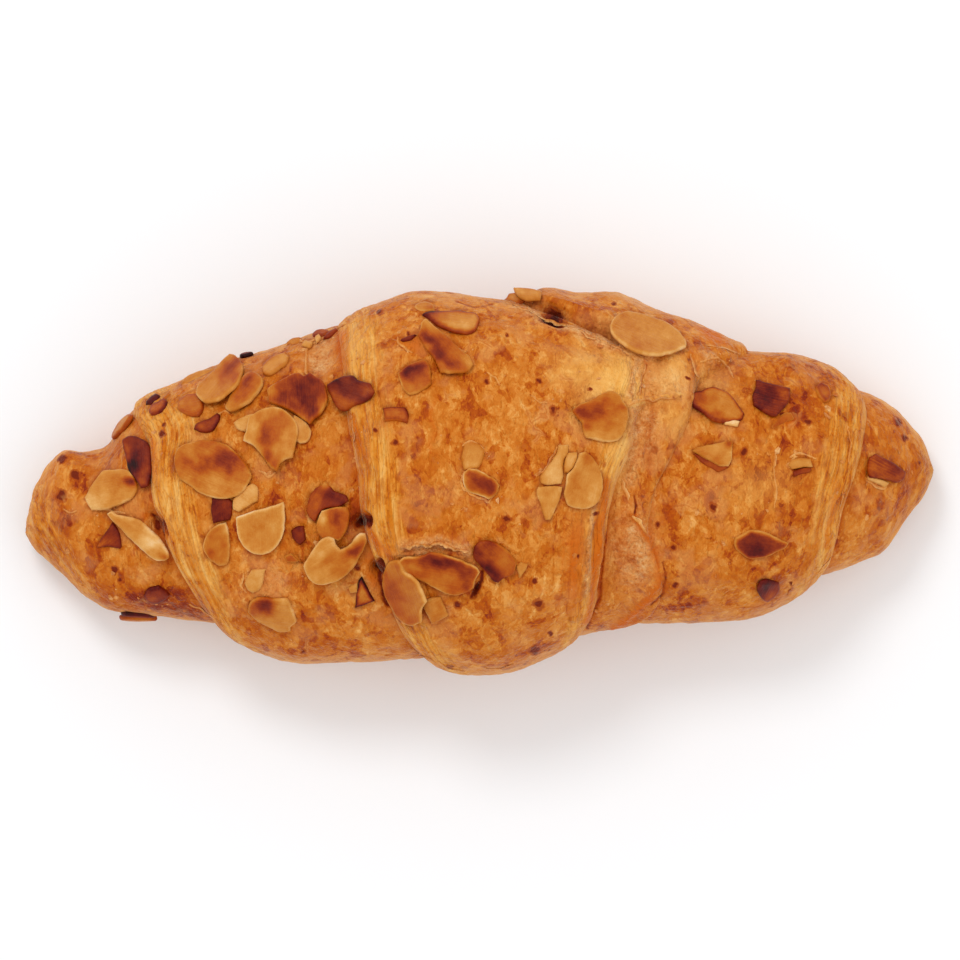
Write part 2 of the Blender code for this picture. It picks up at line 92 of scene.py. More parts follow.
OUTER_TURN_STATIONS = (
    (-64.0, 15.6, -23.6, 28.5, -3.0), (-56.0, 17.2, -26.8, 32.0, -3.0), (-50.0, 20.0, -28.9, 34.0, -3.0),
    (-41.0, 23.0, -31.4, 36.5, -3.0), (-33.0, 25.6, -33.4, 38.5, -3.0), (-24.0, 28.4, -33.2, 40.0, -3.0),
    (-11.0, 30.0, -32.2, 42.0, -3.0), (10.0, 30.0, -29.0, 40.0, -3.0), (28.0, 28.0, -25.8, 36.8, -3.0),
    (37.0, 26.2, -26.0, 36.8, -3.0), (45.0, 24.0, -25.5, 36.2, -3.0), (50.0, 23.4, -25.0, 35.2, -3.0),
    (57.0, 23.2, -21.8, 32.8, -3.0), (63.0, 21.4, -17.8, 30.2, -3.0), (70.0, 18.0, -14.2, 27.0, -3.0),
)
INNER_TURN_STATIONS = (
    (-8.0, 31.0, -30.0, 41.0, -3.0), (6.0, 32.6, -29.5, 41.0, -3.0), (11.0, 34.6, -28.6, 40.6, -3.0),
    (18.0, 34.0, -28.0, 39.6, -3.0), (25.0, 33.8, -27.0, 38.4, -3.0), (31.0, 31.6, -26.8, 38.0, -3.0),
    (37.0, 29.4, -26.2, 38.2, -3.0), (43.0, 26.8, -25.8, 37.8, -3.0), (49.5, 24.0, -25.0, 36.6, -3.0),
)
CENTRE_TURN_STATIONS = (
    (-28.0, 28.8, -32.8, 43.0, -3.0), (-20.0, 31.8, -34.2, 45.6, -3.0), (-11.0, 34.2, -35.4, 47.0, -3.0),
    (-3.0, 33.4, -35.5, 47.4, -3.0), (5.0, 32.6, -34.8, 47.2, -3.0), (11.0, 32.0, -32.6, 46.6, -3.0),
    (19.0, 30.6, -29.4, 45.4, -3.0), (31.0, 27.6, -27.0, 43.4, -3.0),
)

# Plan points (X, Y) of the slanting edges, from the back over the top to the front.
EDGE_FAR_LEFT = (
    (-62.8, 12.9), (-61.5, 10.5), (-59.7, 7.0), (-59.3, 2.5), (-59.0, -3.0), (-57.8, -8.0),
    (-55.5, -13.5), (-53.0, -18.0), (-49.7, -22.8), (-46.1, -26.8),
)
EDGE_MID_LEFT = (
    (-26.2, 28.4), (-24.4, 19.8), (-23.5, 10.7), (-21.7, 1.6), (-21.0, -7.4), (-18.4, -15.6),
    (-16.4, -21.9), (-12.6, -28.3), (-7.2, -33.7),
)
EDGE_MID_RIGHT = (
    (5.0, 31.0), (12.0, 29.4), (21.8, 25.2), (28.4, 21.9), (29.8, 18.4), (27.8, 12.1), (26.4, 6.0),
    (24.0, -0.2), (22.7, -5.6), (22.2, -12.0), (21.3, -20.1), (19.4, -25.0),
)
EDGE_INNER_RIGHT = (
    (48.5, 22.6), (44.5, 21.6), (39.4, 18.0), (37.8, 13.0), (34.5, 4.5), (31.0, -3.8), (30.5, -9.2),
    (32.2, -15.6), (32.8, -20.1), (29.6, -24.1), (22.5, -27.0),
)
EDGE_FAR_RIGHT = (
    (66.2, 18.3), (69.5, 14.3), (69.2, 10.7), (68.6, 6.9), (67.8, 2.9), (66.6, -1.4), (65.4, -5.5),
    (64.8, -9.5), (63.8, -13.5), (61.7, -17.4),
)
# Plan points where the layers at the two tips begin.
EDGE_TIP_LEFT = ((-77.5, 7.0), (-78.9, 1.0), (-77.5, -6.0), (-74.4, -12.5), (-70.0, -20.5))
EDGE_TIP_RIGHT = ((76.5, 13.5), (79.2, 7.0), (79.4, 2.0), (77.4, -5.0), (73.0, -12.5))

# ---- dough: detail

FINE_STEP = 0.34  # distance between points of the crust
LAYER_STEP = 0.22  # the same across a laminated edge strip
ROUND_COUNTS = {"centre": (330, 96), "outer": (300, 90), "inner": (280, 90), "tip": (230, 80)}
LAYER_PITCH = 0.62  # spacing of the layers that show along an edge
LAYER_LENGTH = 13.0  # how long one layer's streak runs before it fades
LAYER_HEIGHT = 0.09
TIP_ROUNDING = 9  # rows of points over which the very end of a tip closes
TIP_CROWDING = 1.3  # how much closer the rows of a tip lie towards its end
TIP_LAYERS = 0.8  # how clearly the layers show at the two tips
TIP_LAYER_HEIGHT = 1.6  # how much higher they are than along an edge
BLISTER_SIZES = ((4.2, 0.22), (1.9, 0.16), (0.9, 0.07))  # (size, height) of the crust's relief
DENT_SHARE = 0.6  # depth of the dents between the blisters, as a share of their height
LINE_CROOK = 0.45  # how crooked the painted lines are, as a share of the patches' edges
SPECK_STRENGTH = 0.62
UNDER_STEP = 0.22  # how much higher each inner turn ends on the underside
UNDER_RELIEF = 0.18
FAR_AWAY = 99.0  # a distance to an edge that a piece doesn't have

# Seeds of the smooth random fields.
SIDE_SEED = 61
BLISTER_SEED = 40
PATCH_SEED = 71
SPECK_SEED = 81
RAW_SEED = 91
UNDER_SEED = 95
JITTER_SEED = 301
LIP_SEED = 401
LOOSE_SEED = 501

# Dents and holes: X, Y, half length, half width, turn, depth.
DENTS = (
    (-28.9, 22.1, 3.8, 2.8, 70, 1.5), (13.6, 29.0, 2.6, 1.3, -14, 2.6), (-58.4, -8.0, 2.6, 1.3, 110, 1.8),
    (-21.2, -7.6, 1.7, 1.4, 60, 3.2), (-18.5, -15.8, 1.5, 1.1, 80, 2.6), (30.0, 5.2, 8.0, 0.7, 86, 0.5),
    (-0.7, -19.6, 1.7, 0.6, 70, 0.9), (57.8, 2.6, 1.9, 0.7, 15, 0.7), (31.8, 1.0, 7.0, 0.5, 96, 0.35),
    (20.6, -13.0, 7.5, 0.6, 88, 0.8), (-9.0, -12.4, 5.5, 0.7, 0, 0.5),
)
# Low swellings: X, Y, half length, half width, turn, height.
SWELLINGS = (
    (33.6, 13.0, 6.0, 4.0, 80, 0.9), (31.6, 14.4, 5.2, 0.55, 7, 0.5), (22.0, -14.0, 8.0, 0.6, 87, 0.5),
    (-74.0, 3.0, 3.0, 2.6, 0, 0.6), (53.0, 21.5, 6.0, 2.6, -8, 0.5), (-40.0, -22.0, 9.0, 5.0, 20, 0.4),
    (40.0, -18.0, 8.0, 4.0, 10, 0.4), (45.5, 21.0, 7.0, 1.4, -32, 0.5), (-62.0, -20.0, 6.0, 3.0, 0, 0.3),
)
# The same for the inner turn alone, beside the back edge of the centre turn.
INNER_LIFTS = ((19.0, 27.0, 14.0, 4.6, -24, 1.7), (32.0, 21.0, 6.0, 4.6, 0, 1.3))
# Painted patches of each channel: X, Y, half length, half width, turn, strength.
PATCHES = {
    "pale": (
        (24.0, 16.6, 8.4, 6.4, 60, 0.75), (27.0, 21.0, 4.2, 2.6, -30, 0.6), (18.5, 20.0, 6.0, 4.2, 10, 0.5),
        (25.4, 4.4, 7.0, 1.8, 78, 0.75), (33.8, 17.4, 4.8, 3.6, 60, 0.75), (34.0, 11.0, 4.0, 3.0, 80, 0.35),
        (18.0, -9.0, 8.0, 2.6, 88, 0.25), (50.0, -1.0, 8.0, 5.0, 20, 0.18),
        (-21.6, 24.0, 4.6, 2.6, 70, 0.4), (41.5, 17.0, 5.0, 3.2, -20, 0.35),
        (-50.5, -13.0, 9.0, 1.8, -64, 0.3),
    ),
    "raw": (
        (-28.9, 22.3, 4.2, 2.6, 65, 0.85), (-8.8, -12.6, 6.0, 0.9, 2, 1.0),
        (12.0, 28.7, 4.4, 0.6, -18, 0.8), (20.4, 25.8, 4.2, 0.6, -24, 0.8),
        (28.0, 19.6, 2.6, 1.2, -60, 0.6), (19.6, -13.0, 7.2, 0.6, 89, 0.6),
        (28.0, -12.5, 9.0, 4.6, 92, 0.8), (30.0, 9.0, 7.0, 2.6, 90, 0.7), (33.5, 17.0, 5.0, 3.4, 0, 0.5),
        (-20.2, 8.0, 8.0, 0.7, 86, 0.4), (41.0, 22.0, 2.6, 1.0, -40, 0.6),
        (-17.0, 21.0, 3.6, 2.4, 60, 0.25), (-38.0, -18.0, 6.0, 4.0, 20, 0.25),
    ),
    "brown": (
        (18.5, -13.5, 9.0, 1.6, 88, 0.5), (26.0, -12.0, 8.0, 2.0, 92, 0.2), (30.2, 5.0, 8.6, 1.0, 86, 0.5),
        (49.0, -17.0, 7.0, 3.6, 10, 0.35), (38.5, -21.0, 6.0, 2.6, -8, 0.3),
        (33.5, -5.0, 6.0, 2.0, 80, 0.2), (3.0, -27.0, 9.0, 4.0, 0, 0.1), (-2.0, 10.0, 7.0, 2.6, 70, 0.22),
        (-21.0, 7.0, 8.0, 2.6, 86, 0.6), (-55.5, 3.5, 5.0, 2.4, -70, 0.6),
        (-57.0, -22.0, 12.0, 3.4, -8, 0.85), (-50.0, -26.5, 6.0, 1.8, -20, 0.5),
        (12.0, 31.5, 6.0, 1.6, -8, 0.2), (62.0, -2.0, 5.0, 2.0, 80, 0.22), (52.0, 2.0, 15.0, 12.0, 0, 0.2),
        (50.0, 15.0, 13.0, 6.0, -8, 0.18), (72.0, -8.0, 5.0, 2.4, 60, 0.25),
        (81.0, 1.0, 12.0, 4.0, 80, 0.6), (77.0, -9.0, 8.0, 2.6, 55, 0.5), (-70.0, -8.0, 6.0, 4.0, -40, 0.2),
        (-79.0, -7.0, 13.0, 4.6, -62, 0.62), (-70.0, -10.0, 9.0, 8.0, 0, 0.2),
        (9.5, -31.0, 5.0, 1.4, 12, 0.25), (-39.0, -2.0, 5.0, 3.0, 30, 0.15),
        (-27.0, -29.5, 8.0, 2.4, 0, 0.2), (-22.5, -6.0, 4.0, 2.4, 60, 0.7),
    ),
    "red": (
        (17.0, -14.0, 9.0, 1.9, 88, 0.95), (41.7, 26.0, 3.0, 1.8, -25, 1.0),
        (55.0, 10.9, 2.6, 1.3, -30, 0.9), (-19.4, -17.0, 4.0, 1.2, 110, 0.8),
        (-44.6, 13.6, 2.0, 1.2, 40, 0.6), (-43.6, -0.6, 1.6, 1.2, 0, 0.6), (34.6, -5.0, 3.0, 1.2, 60, 0.4),
        (27.6, -25.6, 4.0, 0.7, 28, 0.5), (32.0, 14.5, 5.6, 0.5, 6, 0.35),
        (-12.5, 24.8, 3.2, 1.8, -35, 0.7), (-57.6, -9.0, 3.2, 1.4, 110, 0.7),
        (34.0, 24.0, 3.0, 1.6, 30, 0.5),
    ),
    # The dark patches paint shade into the holes listed in DENTS.
    "dark": (
        (13.6, 29.1, 2.8, 1.4, -14, 1.0), (-58.5, -8.2, 2.0, 0.9, 110, 0.6),
        (-21.4, -7.8, 1.5, 1.1, 60, 0.9), (-18.6, -15.6, 1.2, 0.8, 80, 0.9),
        (-0.7, -19.6, 1.7, 0.5, 70, 0.9), (57.8, 2.3, 1.7, 0.5, 15, 0.7),
    ),
}
# Painted and raised lines: channel, half width, strength, height, points on the picture grid.
LINES = (
    ("brown", 0.3, 0.9, -0.4, ((611, 484), (606, 505), (604, 535), (601, 570), (598, 598), (592, 620),
     (588, 630))),
    ("red", 0.62, 1.0, 0.25, ((606, 480), (602, 505), (599, 535), (596, 565), (591, 598), (586, 622))),
    ("raw", 0.6, 0.9, -0.2, ((596, 496), (592, 515), (589, 540), (588, 565), (585, 592))),
    ("brown", 0.12, 0.8, -0.1, ((581, 512), (580, 540), (578, 570), (575, 600))),
    ("brown", 0.1, 0.6, -0.1, ((572, 508), (571, 540), (568, 575), (566, 612))),
    ("red", 0.16, 0.6, 0.05, ((565, 512), (562, 545), (560, 580), (556, 620))),
    ("brown", 0.1, 0.5, -0.1, ((556, 514), (553, 545), (551, 585))),
    ("red", 0.7, 1.0, 0.35, ((633, 516), (641, 528), (649, 540), (656, 556), (659, 572), (659, 585),
     (651, 597), (641, 607), (628, 619), (614, 628))),
    ("dark", 0.2, 0.5, -0.3, ((634, 494), (635, 504), (634, 514))),
    ("dark", 0.22, 0.45, -0.25, ((664, 560), (667, 578), (664, 592), (652, 604))),
    ("pale", 0.6, 1.0, 0.4, ((626, 404), (640, 400), (655, 399), (668, 398), (680, 395))),
    ("brown", 0.8, 0.3, -0.2, ((649, 404), (647, 430), (646, 460), (643, 500), (648, 530))),
    ("raw", 1.3, 0.8, 0.0, ((634, 410), (633, 440), (630, 480))),
    ("dark", 0.3, 0.35, -0.2, ((645, 368), (642, 380), (640, 392))),
    ("raw", 0.7, 0.9, 0.2, ((640, 360), (632, 375), (630, 395))),
    ("raw", 0.9, 0.95, 0.3, ((508, 301), (528, 309), (545, 318), (572, 327), (600, 341), (626, 350),
     (646, 360))),
    ("brown", 0.6, 0.5, -0.2, ((512, 297), (532, 304), (549, 312), (577, 321), (604, 334), (630, 345))),
    ("red", 0.9, 0.8, 0.2, ((341, 332), (341, 350), (344, 368))),
    ("red", 0.5, 0.7, -0.2, ((361, 470), (363, 500), (362, 515))),
    ("red", 0.7, 0.8, -0.2, ((352, 415), (355, 430), (358, 448))),
    # Painted shade in the hollow of a hole.
    ("dark", 0.4, 0.8, -0.6, ((377, 560), (380, 578), (382, 594), (388, 606))),
    ("red", 0.8, 0.9, -0.2, ((368, 530), (378, 545), (390, 556))),
    ("raw", 1.0, 1.0, 0.35, ((404, 545), (420, 543), (438, 541), (454, 546), (466, 549))),
    ("brown", 0.5, 0.6, -0.3, ((406, 550), (424, 549), (440, 548), (456, 552))),
    ("dark", 0.35, 0.7, -0.4, ((481, 571), (480, 580), (475, 588), (471, 597))),
    # The next two lines paint the shade in the hollow beside the third flake.
    ("red", 0.8, 0.7, -0.2, ((140, 516), (150, 512), (158, 522), (165, 536))),
    ("dark", 0.4, 0.55, -0.5, ((148, 514), (157, 522), (163, 534))),
    ("red", 0.7, 0.6, 0.0, ((151, 440), (152, 460), (150, 480))),
    ("brown", 0.7, 0.2, 0.0, ((188, 505), (205, 540), (222, 576), (240, 604), (262, 636))),
    ("red", 0.6, 0.5, -0.1, ((838, 480), (834, 500), (831, 520), (826, 545))),
    ("brown", 0.8, 0.6, -0.1, ((852, 440), (848, 470), (844, 500), (838, 540))),
    ("pale", 0.5, 0.35, 0.1, ((826, 440), (824, 470), (820, 500), (812, 540))),
    ("red", 0.5, 0.5, 0.2, ((690, 352), (700, 362), (692, 378))),
    ("brown", 0.8, 0.5, -0.3, ((690, 362), (696, 376), (700, 388))),
    ("brown", 0.4, 0.45, 0.0, ((60, 455), (75, 452), (90, 456))),
    ("red", 0.4, 0.5, 0.0, ((436, 400), (430, 415), (436, 430), (430, 450))),
    ("dark", 0.16, 0.35, -0.1, ((395, 337), (400, 345), (410, 352))),
    ("dark", 0.15, 0.35, -0.1, ((530, 395), (540, 403), (547, 404))),
    ("dark", 0.15, 0.35, -0.1, ((516, 561), (524, 564), (531, 567))),
    ("dark", 0.16, 0.4, -0.1, ((454, 300), (475, 305), (492, 302))),
)
# Burnt specks: X, Y, radius.
SPECKS = (
    (-73.1, 0.5, 1.3), (-75.7, -2.9, 1.4), (-75.8, 3.4, 1.1), (-66.0, -16.3, 0.9), (-65.0, -17.9, 0.6),
    (-22.0, -15.6, 0.7), (-18.6, 8.7, 0.5), (-15.1, 6.7, 0.7), (4.8, 26.1, 0.5), (1.2, 17.8, 0.5),
    (10.6, 17.9, 0.6), (13.1, 12.5, 1.2), (19.7, 16.3, 0.5), (4.8, -6.9, 1.1), (-3.9, -22.3, 0.9),
    (9.7, -18.1, 0.7), (10.4, -22.3, 1.2), (17.7, -13.8, 0.5), (12.6, -27.5, 0.7), (9.9, -30.8, 1.3),
    (-5.5, -33.9, 1.0), (31.8, -8.0, 0.7), (34.9, -12.1, 0.8), (35.2, -18.7, 0.7), (41.8, -4.9, 1.0),
    (47.4, 5.1, 0.9), (56.4, 13.8, 0.5), (59.0, 10.3, 0.8), (56.3, -18.7, 0.7), (56.1, 22.8, 1.1),
    (60.6, 21.7, 1.0), (75.8, 10.5, 1.0), (76.9, 7.6, 0.9), (79.8, 3.1, 0.6), (-57.4, 8.4, 0.8),
    (-57.0, 9.8, 0.6), (-41.8, 22.8, 0.7), (-18.0, 30.2, 0.7), (-32.0, -31.0, 0.8), (24.0, 31.6, 0.6),
    (37.2, 18.0, 0.5), (51.4, -19.2, 0.9), (54.6, 11.8, 0.6), (20.8, -6.2, 0.5), (-12.8, 26.2, 0.6),
)

# ---- torn and loose crust: detail

# Torn lips of crust: how far each reaches to the left of its line, how high it stands, paleness,
# points on the picture grid.
TEARS = (
    (0.9, 0.45, 1.0, ((468, 550), (454, 547), (440, 542), (428, 544), (416, 543), (403, 546))),
    (-0.7, 0.35, 0.9, ((510, 302), (528, 309), (545, 318), (560, 323), (576, 328), (600, 341), (624, 349),
     (648, 361))),
    (0.8, 0.4, 0.7, ((306, 376), (305, 362), (304, 350), (310, 342), (320, 339))),
    (0.6, 0.4, 0.7, ((284, 344), (296, 338), (308, 341), (320, 333), (334, 327), (345, 322))),
    (0.8, 0.3, 1.0, ((621, 478), (624, 488), (628, 500))),
    (0.9, 0.35, 1.0, ((633, 514), (640, 524), (646, 533))),
    (-0.5, 0.3, 0.9, ((645, 364), (641, 378), (640, 394))),
    (0.5, 0.35, 0.8, ((628, 404), (640, 400), (655, 399), (676, 396))),
    (-0.5, 0.35, 0.8, ((690, 352), (694, 362), (699, 376))),
    (0.45, 0.3, 0.8, ((722, 358), (730, 366), (735, 378))),
    (0.45, 0.3, 0.8, ((700, 360), (712, 357), (722, 358))),
    (-0.4, 0.3, 0.7, ((706, 344), (722, 346), (740, 352))),
    (0.4, 0.25, 0.8, ((790, 456), (800, 452), (810, 455), (818, 458))),
    (0.4, 0.25, 0.8, ((788, 466), (793, 458), (800, 456))),
    (0.35, 0.25, 0.7, ((776, 452), (774, 470), (777, 492), (774, 508))),
    (-0.4, 0.25, 0.6, ((556, 446), (549, 460), (542, 470), (534, 476))),
    (0.35, 0.2, 0.7, ((462, 444), (470, 441), (480, 444), (484, 452))),
    (-0.35, 0.2, 0.6, ((463, 470), (461, 486), (470, 494), (488, 500), (498, 492))),
    (0.35, 0.2, 0.6, ((530, 394), (539, 402), (547, 402))),
    (-0.35, 0.25, 0.6, ((396, 336), (401, 345), (412, 353))),
    (0.4, 0.25, 0.6, ((436, 338), (452, 346), (466, 352))),
    (0.35, 0.2, 0.7, ((486, 372), (496, 376), (500, 386))),
    (0.4, 0.3, 0.8, ((352, 418), (354, 440), (357, 465))),
    (0.4, 0.3, 0.8, ((244, 572), (240, 584), (246, 592))),
    (0.4, 0.25, 0.7, ((258, 470), (268, 476), (276, 470))),
    (-0.4, 0.3, 0.7, ((230, 412), (222, 410), (216, 416))),
    (0.4, 0.25, 0.7, ((100, 506), (112, 512), (122, 512))),
    (0.35, 0.25, 0.7, ((60, 508), (66, 512), (72, 510))),
    (-0.4, 0.3, 0.7, ((868, 480), (880, 486), (892, 486))),
    (0.35, 0.2, 0.6, ((848, 420), (852, 440), (850, 462))),
    (0.35, 0.2, 0.6, ((844, 490), (842, 510), (838, 528))),
    (0.4, 0.3, 0.7, ((834, 556), (828, 566), (822, 572))),
    (-0.4, 0.3, 0.6, ((436, 660), (448, 668), (464, 672))),
    (-0.4, 0.3, 0.7, ((486, 668), (500, 668), (514, 664))),
    (0.4, 0.3, 0.6, ((412, 648), (424, 655), (434, 662))),
    (0.35, 0.25, 0.6, ((188, 604), (200, 612), (214, 619))),
)
TEAR_STEP = 0.2  # distance between points of a torn lip
TEAR_CROOK = 0.25
TEAR_TAPER = 0.8  # length over which a lip narrows to its ends
# Section of a lip, over its edge and back: share of its reach, share of its height, millimetres
# outwards from the crust, millimetres towards its side, share of its paleness.
LIP_SECTION = (
    (0.0, 0.0, -0.3, 0.0, 0.2), (0.5, 0.35, -0.12, 0.0, 0.7), (1.0, 1.0, 0.0, 0.0, 1.0),
    (0.5, 0.8, 0.05, 0.0, 0.6), (0.0, 0.0, 0.1, -0.25, 0.0),
)
# Crumbs and shards of crust: shape, how many for each square metre, smallest and largest in
# millimetres, flatness, seed.
SCATTERS = {
    "crust_crumbs": ("crumb", 90000.0, 0.09, 0.24, 0.75, 3),
    "crust_shards": ("shard", 40000.0, 0.25, 0.75, 0.30, 8),
}
LOOSE_HEIGHT = 12.0  # loose bits lie only on crust above this height
LOOSE_SLOPE = 0.35  # and where it faces up at least this much
TEAR_CRUMBS = 2.5  # how much more crumbly the crust is beside a torn lip
TEAR_CRUMB_REACH = 1.1
CRUMB_CROOK = 3200.0  # scale of the unevenness of crumbs and shards
PALEST_BIT = 0.9  # how pale one of them is at most
PALENESS_SEED = 5

# ---- almonds: detail

FLAKE_THICKNESS = 0.95
FLAKE_RISE = 0.50  # how far a flake's face stands over the crust
RIM_ROUNDING = 0.34
FLAKE_SPACING = 0.42  # distance between points of a flake
STEEPEST_FLAKE = 1.5  # the most that a flake seen from above may slope
OUTLINE_JITTER = 0.07
ON_RIM = 1e-4  # points of a flake nearer to its outline than this lie on it
SPOT_CROOK = 0.5  # how uneven the toasted spots are, as a share of their size
SPOT_STRETCH = 1.25  # how much longer they are along the grain
SPOT_FALL = 0.7  # how quickly they fade outwards
RIM_TOAST = 1.5  # strength and width of the darker rim
RIM_TOAST_WIDTH = 0.38
RIM_GLOW = 0.55  # painted highlight: how much paler a thin, see-through rim is painted, as light shines through it
RIM_GLOW_WIDTH = 0.2
RIM_GLOW_LIMIT = 0.7  # flakes toasted more than this have no painted pale rim
CORNER_TURN = 48.0  # degrees from which a bend of an outline stays a sharp corner
STAIN_AND_SHADE_LEVEL = 12.0  # only crust above this height is browned and painted with shade beside the flakes
STAIN_AND_SHADE_REACH = 0.42
SIDE_FLAKE_POINTS = 22
SIDE_FLAKE_NARROWING = 0.22
SIDE_FLAKE_RIM = 0.15
SIDE_FLAKE_GRAIN = (0, 0.6)  # direction of the grain and how clearly it shows
